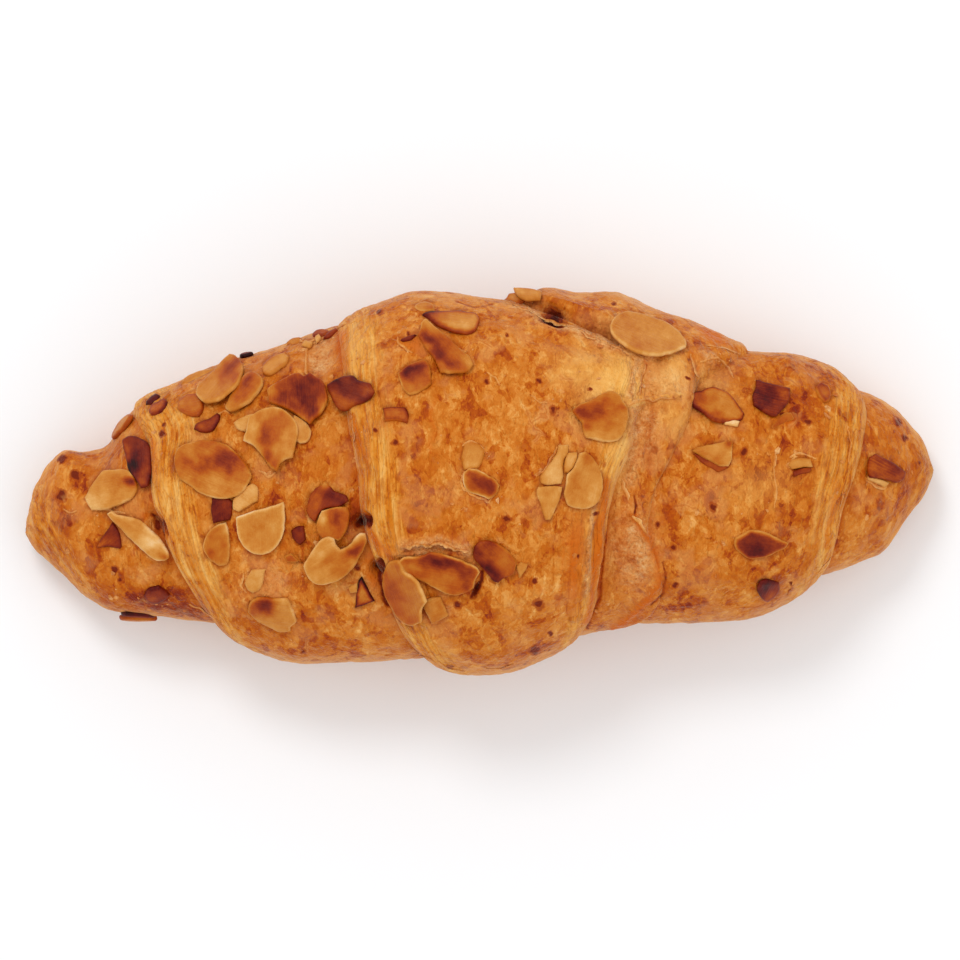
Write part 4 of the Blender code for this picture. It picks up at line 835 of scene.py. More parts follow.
def tip_gap(points, edge, side):
    """How far a point lies beyond the line where the layers of a tip begin."""
    line = smooth_curve(sorted((y, x) for x, y in edge))
    return (line(points[..., 1]) - points[..., 0]) * side


def add_layers(fields, relief, strips, layered):
    """Adds the layers of every strip to the fields and to the relief."""
    for mask, across, ridges in strips:
        mask = mask * layered
        fields["across"] = np.where(mask > fields["layer"], across, fields["across"])
        fields["layer"] = np.maximum(fields["layer"], mask)
        relief += ridges * mask


def add_blisters(relief, points, facing_up, layer, lifts):
    """Adds blisters, dents and swellings to the relief."""
    for k, (size, height) in enumerate(BLISTER_SIZES):
        bump = lattice_noise(points, size, BLISTER_SEED + k)
        relief += np.where(bump > 0, bump, bump * DENT_SHARE) * height * (1 - 0.7 * layer)
    for *oval, depth in DENTS:
        relief -= patch_share(points, *oval) * depth * facing_up
    for *oval, height in SWELLINGS + tuple(lifts):
        relief += patch_share(points, *oval) * height * facing_up


def add_marks(fields, relief, points, normals, facing_up):
    """Paints patches, lines and burnt specks into the fields, and raises the lines. Some of the dark patches
    and lines are painted shade in holes and hollows.
    """
    painted = np.maximum(facing_up, ease(points[..., 2], 14, 20) * ease(normals[..., 2], -0.6, -0.2))
    warp = lattice_shift(points, 2.2, PATCH_SEED) * 0.7
    warped = points[..., :2] + warp
    warped_lines = points[..., :2] + warp * LINE_CROOK
    for channel, rows in PATCHES.items():
        fields[channel] = np.zeros(painted.shape)
        for *oval, strength in rows:
            share = patch_share(warped, *oval) * strength * painted
            fields[channel] = np.maximum(fields[channel], share)
    for channel, half_width, strength, height, line in LINES:
        share = np.exp(-(line_distance(warped_lines, grid_line(line)) / half_width) ** 2) * painted
        fields[channel] = np.maximum(fields[channel], share * strength)
        relief += share * height
    speck_warp = points[..., :2] + lattice_shift(points, 0.9, SPECK_SEED) * 0.35
    for x, y, radius in SPECKS:
        share = patch_share(speck_warp, x, y, radius, radius * 0.85, x * 37) * facing_up
        fields["dark"] = np.maximum(fields["dark"], share * SPECK_STRENGTH)
    torn = lattice_noise(points, 0.7, RAW_SEED) * 0.2 + lattice_noise(points, 1.6, RAW_SEED + 1) * 0.35
    relief += fields["raw"] * torn


def press_flat(points, level):
    """Presses the underside flat, but for the light marks of the tray."""
    marks = lattice_noise(points, 5.0, UNDER_SEED) + lattice_noise(points, 1.6, UNDER_SEED + 1) * 0.5
    floor = level * UNDER_STEP + (marks + 1.5) / 3 * UNDER_RELIEF
    points[..., 2] = np.maximum(points[..., 2], floor)


def dough_piece(name, turn, start, end, counts, level, shows=(False, False), covers=(), tip=0, seed=1,
                layered=1.0, lifts=()):
    """One closed piece of the dough, with its relief and what its material reads.

    shows tells which of its two edges show. covers lists the edges of the turns that lie over
    this one, each with the width and strength of the painted shade in the crease beside it. tip is 1
    at the left end of the roll and -1 at the right end. lifts holds swellings of this piece alone.
    """
    angles = spread_counts(counts)
    x = strip_grid(turn, start, end, angles, *shows)
    if tip:
        x = tip_grid(start, end, angles, len(x), tip)
    angle_grid = np.broadcast_to(angles, x.shape)
    far = np.full_like(x, FAR_AWAY)
    gaps = (x - turn.left(angles) if shows[0] else far, turn.right(angles) - x if shows[1] else far)
    inset = turn.inset_at(angle_grid, *gaps)
    if not shows[0] and tip >= 0:
        inset[0] += TUCK_DEPTH
    if not shows[1]:
        inset[-1] += TUCK_DEPTH
    points, outward = turn.points(x, angle_grid, inset)
    points = points + outward * broad_bumps(points)[..., None]
    if tip:
        round_tip(points, tip)

    fields = {"layer": np.zeros_like(x), "across": np.zeros_like(x)}
    relief = np.zeros_like(x)
    strips = [layer_fields(gap, strip, angle_grid, seed * 11 + k)
              for k, (gap, strip, visible) in enumerate(zip(gaps, turn.strips, shows)) if visible]
    if tip:
        beyond = tip_gap(points, EDGE_TIP_LEFT if tip > 0 else EDGE_TIP_RIGHT, tip)
        _, across, ridges = layer_fields(beyond, 1.0, angle_grid, seed * 11 + 5)
        strips.append((ease(beyond, -1.5, 1.5) * TIP_LAYERS, across, ridges * TIP_LAYER_HEIGHT))
    add_layers(fields, relief, strips, layered)
    # Painted shade in the creases beside the edges of the turns that lie over this one.
    crease_shade = np.zeros_like(x)
    for edge, reach, strength in covers:
        crease_shade = np.maximum(crease_shade, np.exp(-line_distance(points, edge) / reach) * strength)
    fields["crease_shade"] = crease_shade
    fields["along"] = way_round(angle_grid)

    normals = grid_normals(points)
    facing_up = ease(normals[..., 2], 0.05, 0.45)
    fields["side"] = ease(normals[..., 2] + lattice_noise(points, 3.0, SIDE_SEED) * 0.15, 0.55, 0.0)
    add_blisters(relief, points, facing_up, fields["layer"], lifts)
    add_marks(fields, relief, points, normals, facing_up)
    points = points + normals * relief[..., None]
    fields["under"] = ease(points[..., 2], 3.0, 0.2) * (normals[..., 2] < 0.2)
    press_flat(points, level)
    return closed_mesh(name, points, fields)


def shifted(edge, distance):
    """An edge moved along the roll."""
    return lambda angle: edge(angle) + distance


def level_end(x):
    """An end that lies straight across the roll."""
    return lambda angle: np.full(np.shape(angle), float(x))


def build_dough():
    core = Turn(CORE_STATIONS)
    outer = Turn(OUTER_TURN_STATIONS, EDGE_FAR_LEFT, EDGE_FAR_RIGHT, OUTER_DROPS, OUTER_STRIPS)
    inner = Turn(INNER_TURN_STATIONS, (), EDGE_INNER_RIGHT, INNER_DROPS, INNER_STRIPS)
    centre = Turn(CENTRE_TURN_STATIONS, EDGE_MID_LEFT, EDGE_MID_RIGHT, CENTRE_DROPS, CENTRE_STRIPS)
    first, last = CORE_STATIONS[0][0], CORE_STATIONS[-1][0]
    valley = [(EDGE_MID_RIGHT[:7], 0.5, 0.45), (EDGE_MID_RIGHT[6:], 0.6, 1.0)]
    return [
        dough_piece("dough_left_tip", core, level_end(first), shifted(outer.left, OVERLAP),
                    ROUND_COUNTS["tip"], 3, covers=[(EDGE_FAR_LEFT, 0.8, 1.0)], tip=1, seed=1),
        dough_piece("dough_left_turn", outer, outer.left, shifted(centre.left, OVERLAP),
                    ROUND_COUNTS["outer"], 1, (True, False), [(EDGE_MID_LEFT, 0.9, 1.0)], seed=2),
        dough_piece("dough_centre_turn", centre, centre.left, centre.right,
                    ROUND_COUNTS["centre"], 0, (True, True), seed=3),
        dough_piece("dough_inner_turn", inner, shifted(centre.right, -OVERLAP), inner.right,
                    ROUND_COUNTS["inner"], 1, (False, True), valley, seed=4, layered=0.3, lifts=INNER_LIFTS),
        dough_piece("dough_right_turn", outer, shifted(inner.right, -OVERLAP), outer.right,
                    ROUND_COUNTS["outer"], 2, (False, True), [(EDGE_INNER_RIGHT, 0.4, 0.7)], seed=5),
        dough_piece("dough_right_tip", core, shifted(outer.right, -OVERLAP), level_end(last),
                    ROUND_COUNTS["tip"], 3, covers=[(EDGE_FAR_RIGHT, 0.6, 0.5)], tip=-1, seed=6),
    ]


def crust_tree(dough):
    """A search tree over all the dough, in millimetres."""
    points, faces = [], []
    for piece in dough:
        start = len(points)
        points += (mesh_points(piece.data) / MM).tolist()
        faces += [[start + i for i in face.vertices] for face in piece.data.polygons]
    return BVHTree.FromPolygons(points, faces)


# ---- almonds: meshes

def smooth_outline(corners):
    """A dense closed outline through the corners, sharp only where it bends strongly."""
    corners = np.array(corners, float)
    before, after = np.roll(corners, 1, axis=0), np.roll(corners, -1, axis=0)
    inward, outward = corners - before, after - corners
    bend = np.degrees(np.arctan2(inward[:, 0] * outward[:, 1] - inward[:, 1] * outward[:, 0],
                                 (inward * outward).sum(1)))
    outline = []
    for i in range(len(corners)):
        k = (i + 1) % len(corners)
        chord = corners[k] - corners[i]
        reach = np.linalg.norm(chord)
        leave, arrive = chord, chord
        if abs(bend[i]) < CORNER_TURN:
            leave = corners[k] - before[i]
            leave = leave / (np.linalg.norm(leave) + 1e-9) * reach
        if abs(bend[k]) < CORNER_TURN:
            arrive = after[k] - corners[i]
            arrive = arrive / (np.linalg.norm(arrive) + 1e-9) * reach
        for t in np.arange(0, 1, min(0.5, FLAKE_SPACING * 0.8 / max(reach, 0.1))):
            outline.append(corners[i] * (2 * t ** 3 - 3 * t * t + 1) + leave * (t ** 3 - 2 * t * t + t)
                           + corners[k] * (3 * t * t - 2 * t ** 3) + arrive * (t ** 3 - t * t))
    return np.array(outline)


def rim_distance(points, outline):
    """How far each point lies from the nearest stretch of a closed outline."""
    start, end = outline, np.roll(outline, -1, axis=0)
    span = end - start
    nearest = np.full(len(points), np.inf)
    for first, way in zip(start, span):
        share = np.clip(((points - first) @ way) / (way @ way + 1e-12), 0, 1)
        nearest = np.minimum(nearest, np.linalg.norm(points - first - share[:, None] * way, axis=1))
    return nearest


def inside(points, outline):
    """Which points lie within a closed outline."""
    start, end = outline, np.roll(outline, -1, axis=0)
    crossings = np.zeros(len(points), int)
    for (x0, y0), (x1, y1) in zip(start, end):
        spans = (points[:, 1] < y0) != (points[:, 1] < y1)
        at = x0 + (points[:, 1] - y0) / (y1 - y0 if y1 != y0 else 1e-12) * (x1 - x0)
        crossings += spans & (points[:, 0] < at)
    return crossings % 2 == 1


def fill_outline(outline):
    """Points and triangles that fill an outline, the outline's own points first."""
    low, high = outline.min(0), outline.max(0)
    middle = (low + high) / 2
    columns = np.arange(low[0], high[0], FLAKE_SPACING)
    rows = np.arange(low[1], high[1], FLAKE_SPACING)
    lattice = np.array([(x + (k % 2) * FLAKE_SPACING / 2, y) for k, y in enumerate(rows) for x in columns])
    lattice = lattice[inside(lattice, outline)]
    lattice = lattice[rim_distance(lattice, outline) > RIM_ROUNDING * 1.25]
    rings = []
    for depth in (RIM_ROUNDING * 0.3, RIM_ROUNDING):
        tangent = np.roll(outline, -1, axis=0) - np.roll(outline, 1, axis=0)
        tangent /= np.linalg.norm(tangent, axis=1, keepdims=True) + 1e-9
        ring = outline + np.stack([-tangent[:, 1], tangent[:, 0]], 1) * depth
        ring = ring[inside(ring, outline)]
        rings.append(ring[rim_distance(ring, outline) > depth * 0.8])
    spots = np.concatenate([outline] + rings + [lattice])
    count = len(outline)
    loop = [(i, (i + 1) % count) for i in range(count)]
    result = geometry.delaunay_2d_cdt([Vector(spot) for spot in (spots - middle).tolist()], loop, [], 1, 1e-5)
    return np.array([tuple(spot) for spot in result[0]]) + middle, [tuple(face) for face in result[2]]


def crust_heights(tree, points):
    """Heights of the crust under plan points, with no value where there is none."""
    heights = []
    for x, y in points:
        place = tree.ray_cast(Vector((x, y, ABOVE_ALL)), Vector((0, 0, -1)))[0]
        heights.append(place.z if place else np.nan)
    return np.array(heights)


def flake_surfaces(flat, gap, place, outwards, seed):
    """The points of a flake's domed and wavy upper face, and then those of its lower face."""
    rounded = np.sqrt(np.clip(1 - (1 - np.clip(gap / RIM_ROUNDING, 0, 1)) ** 2, 0, 1))
    reach = gap / max(gap.max(), 1e-6)
    dome = (0.30 if seed % 3 else -0.22) * min(1.0, gap.max() / 3.5) * (1 - (1 - reach) ** 2)
    wave = dome + lattice_noise(flat, 3.4, seed) * 0.14 + lattice_noise(flat, 1.1, seed + 1) * 0.04
    half = FLAKE_THICKNESS * 0.5 * rounded
    upper = place + outwards * (half + wave * rounded)[:, None]
    lower = place - outwards * (half - wave * rounded)[:, None]
    return np.concatenate([upper, lower])


def flake_tones(flat, gap, axes, tone, rim, spots, seed):
    """How toasted each point of a flake is. axes are the ways along and across its grain."""
    tones = np.full(len(flat), tone)
    crook = np.stack([lattice_noise(flat, 2.4, seed + 6), lattice_noise(flat, 2.4, seed + 8)], 1)
    crook += lattice_shift(flat, 1.0, seed + 9) * 0.4
    # The spots hold toasting, and some of the paler ones are painted highlights.
    for x, y, radius, change in spots:
        away = flat - (x, y) + crook * SPOT_CROOK * radius
        along, across = away @ axes[0] / SPOT_STRETCH, away @ axes[1] * SPOT_STRETCH
        near = np.hypot(along, across) / radius
        tones += change * np.exp(-near ** 2 * SPOT_FALL)
    tones += rim * RIM_TOAST * np.exp(-(gap / RIM_TOAST_WIDTH) ** 2)
    # A painted highlight: the thin rim is painted paler, as light shines through it.
    if tone < RIM_GLOW_LIMIT:
        glow = np.clip(0.45 + 0.9 * lattice_noise(flat, 2.6, seed + 4), 0, 1)
        tones -= (tone - 0.1) * RIM_GLOW * glow * np.exp(-(gap / RIM_GLOW_WIDTH) ** 2)
    tones += lattice_noise(flat, 2.2, seed + 2) * 0.05
    return tones


class FlakeHeap:
    """Collects all the flaked almonds into one mesh."""

    def __init__(self):
        self.points, self.faces, self.toast, self.grain, self.clear = [], [], [], [], []
        self.plans = []

    def add(self, outline, tone, rim, grain_turn, spots, place_at):
        """One flake. place_at gives the place and the way outwards for points of its plane."""
        flat, triangles = fill_outline(outline)
        gap = rim_distance(flat, outline)
        seed = len(self.faces)
        count = len(flat)
        start = sum(len(part) for part in self.points)
        self.points.append(flake_surfaces(flat, gap, *place_at(flat), seed))
        on_rim = gap < ON_RIM
        lower = np.arange(count) + count
        lower[on_rim] = np.flatnonzero(on_rim)
        self.faces += [tuple(start + i for i in face) for face in triangles]
        self.faces += [tuple(start + int(lower[i]) for i in reversed(face)) for face in triangles]
        turn, clear = grain_turn
        cos, sin = math.cos(math.radians(turn)), math.sin(math.radians(turn))
        axes = (cos, sin), (-sin, cos)
        grain = np.stack([flat @ axes[0], flat @ axes[1] + seed * 0.37, np.full(count, seed * 0.11)], 1)
        self.toast.append(np.tile(flake_tones(flat, gap, axes, tone, rim, spots, seed), 2))
        self.grain.append(np.tile(grain, (2, 1)))
        self.clear.append(np.full(2 * count, clear))

    def build(self, name, material):
        mesh = bpy.data.meshes.new(name)
        mesh.from_pydata((np.concatenate(self.points) * MM).tolist(), [], self.faces)
        set_field(mesh, "toast", np.concatenate(self.toast))
        set_field(mesh, "clear_grain", np.concatenate(self.clear))
        set_field(mesh, "grain", np.concatenate(self.grain), "FLOAT_VECTOR")
        whole = bmesh.new()
        whole.from_mesh(mesh)
        unused = [vert for vert in whole.verts if not vert.link_faces]
        bmesh.ops.delete(whole, geom=unused, context="VERTS")
        whole.to_mesh(mesh)
        whole.free()
        mesh.shade_smooth()
        mesh.materials.append(material)
        return new_piece(name, mesh)


def flake_seat(tree, corners):
    """Mean height of the crust under a flake, its outline there, and the slope it lies on."""
    rough = np.array([on_grid(x, y, FLAKE_LEVEL) for x, y in corners])
    under = np.concatenate([rough, rough * 0.5 + rough.mean(0) * 0.5])
    heights = crust_heights(tree, under)
    known = ~np.isnan(heights)
    height = heights[known].mean()
    plan = np.array([on_grid(x, y, height) for x, y in corners])
    offsets = np.c_[under[known] - plan.mean(0), np.ones(known.sum())]
    slope_x, slope_y, level = np.linalg.lstsq(offsets, heights[known], rcond=None)[0]
    steep = math.hypot(slope_x, slope_y)
    slope = np.array([slope_x, slope_y]) * min(1.0, STEEPEST_FLAKE / max(steep, 1e-6))
    return height, plan, slope, level


def signed_area(outline):
    """The area within an outline, negative where it runs clockwise."""
    following = np.roll(outline, -1, axis=0)
    return (outline[:, 0] * following[:, 1] - outline[:, 1] * following[:, 0]).sum() / 2


def add_plan_flakes(heap, tree):
    """The flakes seen from above, each laid on the crust under its outline."""
    for tone, rim, lift, turn, clear, corners, spots in FLAKES:
        height, plan, slope, level = flake_seat(tree, corners)
        middle = plan.mean(0)
        outwards = np.array([-slope[0], -slope[1], 1.0])
        outwards /= np.linalg.norm(outwards)
        rise = FLAKE_RISE + lift - FLAKE_THICKNESS / 2

        def place_at(flat, middle=middle, slope=slope, outwards=outwards, level=level, rise=rise):
            shifted_plan = flat - outwards[:2] * (rise + FLAKE_THICKNESS / 2)
            base = np.c_[shifted_plan, (shifted_plan - middle) @ slope + level]
            return base + outwards * rise, np.broadcast_to(outwards, base.shape)

        outline = smooth_outline(plan)
        if signed_area(outline) < 0:
            outline = outline[::-1]
        jitter = lattice_shift(outline, 0.8, JITTER_SEED) * OUTLINE_JITTER
        near_spots = [(*on_grid(x, y, height), radius * PIXEL, change) for x, y, radius, change in spots]
        heap.add(outline + jitter, tone, rim, (turn, clear), near_spots, place_at)
        heap.plans.append(outline)


def add_side_flakes(heap, tree):
    """The flakes pressed onto the steep sides."""
    for tone, x, height, side, length, width, turn, rise in SIDE_FLAKES:
        place, normal, _, _ = tree.ray_cast(Vector((x, ABOVE_ALL * side, height)), Vector((0, -side, 0)))
        heading = Vector((math.cos(math.radians(turn)), 0, math.sin(math.radians(turn))))
        along = (heading - normal * heading.dot(normal)).normalized()
        across = normal.cross(along)
        turns = np.linspace(0, math.tau, SIDE_FLAKE_POINTS, endpoint=False)
        narrowing = 1 - SIDE_FLAKE_NARROWING * np.cos(turns)
        outline = np.stack([np.cos(turns) * length, np.sin(turns) * width * narrowing], 1) / 2

        def place_at(flat, place=place, normal=normal, along=along, across=across, rise=rise):
            base = np.array(place) + flat[:, :1] * np.array(along) + flat[:, 1:] * np.array(across)
            base = base + np.array(normal) * (rise - FLAKE_THICKNESS / 2)
            return base, np.broadcast_to(np.array(normal), base.shape)

        heap.add(outline, tone, SIDE_FLAKE_RIM, SIDE_FLAKE_GRAIN, (), place_at)


def stain_and_shade_crust(dough, plans):
    """Marks the crust close to each flake, where juice and sugar have browned, and paints the shade at each
    flake's foot there too.
    """
    for piece in dough:
        spots = mesh_points(piece.data) / MM
        stain_and_shade = np.zeros(len(spots))
        up = np.flatnonzero(spots[:, 2] > STAIN_AND_SHADE_LEVEL)
        flat = spots[up, :2]
        for outline in plans:
            low, high = outline.min(0) - 2, outline.max(0) + 2
            near = np.flatnonzero(((flat > low) & (flat < high)).all(1))
            if len(near):
                gap = rim_distance(flat[near], outline)
                gap[inside(flat[near], outline)] = 0
                stain_and_shade[up[near]] = np.maximum(stain_and_shade[up[near]], np.exp(-(gap / STAIN_AND_SHADE_REACH) ** 1.3))
        set_field(piece.data, "stain_and_shade", stain_and_shade)


def build_almonds(dough, tree):
    heap = FlakeHeap()
    add_plan_flakes(heap, tree)
    add_side_flakes(heap, tree)
    stain_and_shade_crust(dough, heap.plans)
    return heap.build("almond_flakes", almond_material())


# ---- torn crust

def torn_path(index, reach, line):
    """Points along a torn lip, the way to its side at each, and how much of it stands there."""
    line = np.array(grid_line(line))
    lengths = np.r_[0, np.cumsum(np.linalg.norm(np.diff(line, axis=0), axis=1))]
    steps = np.arange(0, lengths[-1], TEAR_STEP)
    path = np.stack([np.interp(steps, lengths, line[:, axis]) for axis in (0, 1)], 1)
    path += lattice_shift(path, 1.3, LIP_SEED) * TEAR_CROOK
    way = np.gradient(path, axis=0)
    way /= np.linalg.norm(way, axis=1, keepdims=True)
    aside = np.stack([-way[:, 1], way[:, 0]], 1) * math.copysign(1, reach)
    ragged = 0.55 + 0.45 * lattice_noise(steps[:, None] + index * 31, 0.55, LIP_SEED + 2)
    ragged *= 0.75 + 0.4 * lattice_noise(steps[:, None] + index * 17, 1.9, LIP_SEED + 3)
    ends = np.clip(np.minimum(steps, steps[-1] - steps) / TEAR_TAPER, 0.05, 1)
    return path, aside, np.clip(ragged, 0.12, 1.2) * ends


def turned_out(mesh):
    """Turns all faces outwards."""
    faces = bmesh.new()
    faces.from_mesh(mesh)
    bmesh.ops.recalc_face_normals(faces, faces=faces.faces)
    faces.to_mesh(mesh)
    faces.free()


def build_tears(tree):
    """Thin torn lips of crust that stand up a little from their lines."""
    points, faces, paleness = [], [], []
    corners = len(LIP_SECTION)
    for index, (reach, height, pale, line) in enumerate(TEARS):
        start = len(points)
        for spot, side, share in zip(*torn_path(index, reach, line)):
            place, normal = tree.ray_cast(Vector((*spot, ABOVE_ALL)), Vector((0, 0, -1)))[:2]
            if not place:
                continue
            side = Vector((*side, 0))
            side = (side - normal * side.dot(normal)).normalized()
            out, up = side * abs(reach) * share, normal * height * share
            for outward, upward, raised, aside, paler in LIP_SECTION:
                points.append(place + out * outward + up * upward + normal * raised + side * aside)
                paleness.append(paler * pale)
        rows = (len(points) - start) // corners
        for row in range(rows - 1):
            low = start + row * corners
            for k in range(corners):
                following = (k + 1) % corners
                faces.append((low + k, low + following, low + corners + following, low + corners + k))
        if rows > 1:
            faces.append(tuple(start + k for k in reversed(range(corners))))
            faces.append(tuple(start + (rows - 1) * corners + k for k in range(corners)))
    mesh = bpy.data.meshes.new("torn_crust")
    mesh.from_pydata([point * MM for point in points], [], faces)
    set_field(mesh, "lip", paleness)
    turned_out(mesh)
    return new_piece("torn_crust", mesh)


# ---- node trees

class Nodes:
    """Short calls that add and join the nodes of one material, group or geometry tree."""

    def __init__(self, tree):
        self.tree = tree

    def feed(self, socket, value):
        if isinstance(value, bpy.types.NodeSocket):
            self.tree.links.new(value, socket)
        else:
            socket.default_value = value

    def add(self, kind, inputs=None, **settings):
        node = self.tree.nodes.new(kind)
        for name, value in settings.items():
            setattr(node, name, value)
        for name, value in (inputs or {}).items():
            self.feed(node.inputs[name], value)
        return node

    def place(self):
        return self.add("ShaderNodeTexCoord").outputs["Object"]

    def attribute(self, name, output="Fac"):
        return self.add("ShaderNodeAttribute", attribute_name=name).outputs[output]

    def math(self, operation, first, second=0.0, third=None):
        inputs = {0: first, 1: second}
        if third is not None:
            inputs[2] = third
        return self.add("ShaderNodeMath", inputs, operation=operation).outputs[0]

    def times(self, first, second):
        return self.math("MULTIPLY", first, second)

    def plus(self, base, value, amount):
        """base, with an amount of value added."""
        return self.math("MULTIPLY_ADD", value, amount, base)

    def centred(self, value):
        """A value from 0 to 1, moved so that it lies round 0."""
        return self.math("SUBTRACT", value, 0.5)

    def vector(self, operation, first, second):
        """Vector maths. Where the operation is SCALE, second is one number."""
        key = "Scale" if operation == "SCALE" else 1
        return self.add("ShaderNodeVectorMath", {0: first, key: second}, operation=operation).outputs[0]

    def noise(self, where, scale, detail=2.0, roughness=0.5, distortion=0.0, output="Fac"):
        return self.add("ShaderNodeTexNoise", {
            "Vector": where, "Scale": scale, "Detail": detail, "Roughness": roughness,
            "Distortion": distortion}).outputs[output]

    def crook(self, where, scale, reach, detail=2.0, roughness=0.5):
        """A random shift of a place, the same for near ones."""
        colour = self.noise(where, scale, detail, roughness, output="Color")
        return self.vector("SCALE", self.vector("SUBTRACT", colour, (0.5, 0.5, 0.5)), reach)

    def cells(self, where, scale, feature):
        return self.add("ShaderNodeTexVoronoi", {"Vector": where, "Scale": scale},
                        feature=feature).outputs["Distance"]

    def spread(self, value, low, high, to_high=1.0):
        """A smooth step of a value: 0 at low, to_high at high."""
        return self.add("ShaderNodeMapRange", {
            "Value": value, "From Min": low, "From Max": high, "To Min": 0.0, "To Max": to_high,
        }, interpolation_type="SMOOTHSTEP").outputs["Result"]

    def random(self, kind, low, high, seed):
        """A random number or vector for each point or piece."""
        if kind == "FLOAT":
            inputs, output = {2: low, 3: high, "Seed": seed}, 1
        else:
            inputs, output = {"Min": low, "Max": high, "Seed": seed}, 0
        return self.add("FunctionNodeRandomValue", inputs, data_type=kind).outputs[output]

    def ramp(self, value, stops):
        node = self.add("ShaderNodeValToRGB", {"Fac": value})
        elements = node.color_ramp.elements
        while len(elements) < len(stops):
            elements.new(0.5)
        for element, (position, colour) in zip(elements, stops):
            element.position = position
            element.color = colour
        return node.outputs["Color"]

    def mix(self, share, first, second):
        return self.add("ShaderNodeMix", {0: share, 6: first, 7: second}, data_type="RGBA").outputs[2]

    def paint(self, colour, share, strength, tint):
        """Lays one of the PAINTS over a colour."""
        return self.mix(self.times(share, strength), colour, base_colour(*PAINTS[tint]))

    def join(self, x, y, z=0.0):
        return self.add("ShaderNodeCombineXYZ", {0: x, 1: y, 2: z}).outputs[0]


# ---- loose crust

SCATTER_SOCKETS = {
    "Ground": "Geometry", "Density": "Float", "Smallest": "Float", "Largest": "Float",
    "Flatness": "Float", "Seed": "Int", "Material": "Material", "Pieces": "Geometry",
}


def make_scatter_tree(name, shape):
    """Geometry nodes that scatter one kind of small piece over a ground, as plain mesh."""
    tree = bpy.data.node_groups.new(name, "GeometryNodeTree")
    for socket, kind in SCATTER_SOCKETS.items():
        way = "OUTPUT" if socket == "Pieces" else "INPUT"
        tree.interface.new_socket(name=socket, in_out=way, socket_type="NodeSocket" + kind)
    nodes = Nodes(tree)
    given = nodes.add("NodeGroupInput").outputs
    crumbly = nodes.add("GeometryNodeInputNamedAttribute", {"Name": "crumbly"}, data_type="FLOAT").outputs[0]
    spots = nodes.add("GeometryNodeDistributePointsOnFaces", {
        "Mesh": given["Ground"], "Density": nodes.times(given["Density"], crumbly),
        "Seed": given["Seed"]}, distribute_method="RANDOM").outputs
    if shape == "crumb":
        body = nodes.add("GeometryNodeMeshIcoSphere", {"Radius": 1.0, "Subdivisions": 2})
    else:
        body = nodes.add("GeometryNodeMeshCylinder", {"Vertices": 5, "Radius": 1.0, "Depth": 1.0})
    turn = nodes.random("FLOAT_VECTOR", (-0.35, -0.35, 0.0), (0.35, 0.35, math.tau), given["Seed"])
    turn = nodes.add("FunctionNodeEulerToRotation", {0: turn}).outputs[0]
    rotation = nodes.add("FunctionNodeRotateRotation", {"Rotation": spots["Rotation"], "Rotate By": turn},
                         rotation_space="LOCAL").outputs[0]
    size = nodes.random("FLOAT", given["Smallest"], given["Largest"], given["Seed"])
    shares = nodes.random("FLOAT_VECTOR", (0.6, 0.45, 0.7), (1.4, 1.0, 1.0), given["Seed"])
    shares = nodes.vector("MULTIPLY", shares, nodes.join(1.0, 1.0, given["Flatness"]))
    pieces = nodes.add("GeometryNodeInstanceOnPoints", {
        "Points": spots["Points"], "Instance": body.outputs["Mesh"], "Rotation": rotation,
        "Scale": nodes.vector("SCALE", shares, size)}).outputs[0]
    pieces = nodes.add("GeometryNodeStoreNamedAttribute", {
        "Geometry": pieces, "Name": "raw", "Value": nodes.random("FLOAT", 0.0, PALEST_BIT, PALENESS_SEED)},
        data_type="FLOAT", domain="INSTANCE").outputs[0]
    pieces = nodes.add("GeometryNodeRealizeInstances", {"Geometry": pieces}).outputs[0]
    spot = nodes.add("GeometryNodeInputPosition").outputs[0]
    crook = nodes.crook(spot, CRUMB_CROOK, given["Largest"])
    pieces = nodes.add("GeometryNodeSetPosition", {"Geometry": pieces, "Offset": crook}).outputs[0]
    pieces = nodes.add("GeometryNodeSetMaterial", {
        "Geometry": pieces, "Material": given["Material"]}).outputs[0]
    nodes.feed(nodes.add("NodeGroupOutput").inputs["Pieces"], pieces)
    return tree


def loose_ground(dough):
    """The upper crust as one mesh, with how crumbly each spot of it is."""
    points, faces = [], []
    start = 0
    for piece in dough:
        mesh = piece.data
        spots = mesh_points(mesh)
        facing = np.empty(len(mesh.polygons) * 3)
        mesh.polygons.foreach_get("normal", facing)
        for face, up in zip(mesh.polygons, facing.reshape(-1, 3)[:, 2]):
            if up > LOOSE_SLOPE and spots[face.vertices[0], 2] > LOOSE_HEIGHT * MM:
                faces.append([start + i for i in face.vertices])
        points.append(spots)
        start += len(spots)
    points = np.concatenate(points)
    mesh = bpy.data.meshes.new("loose_ground")
    mesh.from_pydata(points.tolist(), [], faces)
    flat = points / MM
    crumbly = lattice_noise(flat, 7.0, LOOSE_SEED) + 0.5 * lattice_noise(flat, 2.6, LOOSE_SEED + 1)
    crumbly = ease(crumbly, 0.0, 0.8)
    for *_, line in TEARS:
        near = np.exp(-(line_distance(flat, grid_line(line)) / TEAR_CRUMB_REACH) ** 2)
        crumbly = np.maximum(crumbly, TEAR_CRUMBS * near)
    set_field(mesh, "crumbly", crumbly)
    return new_piece("loose_ground", mesh)


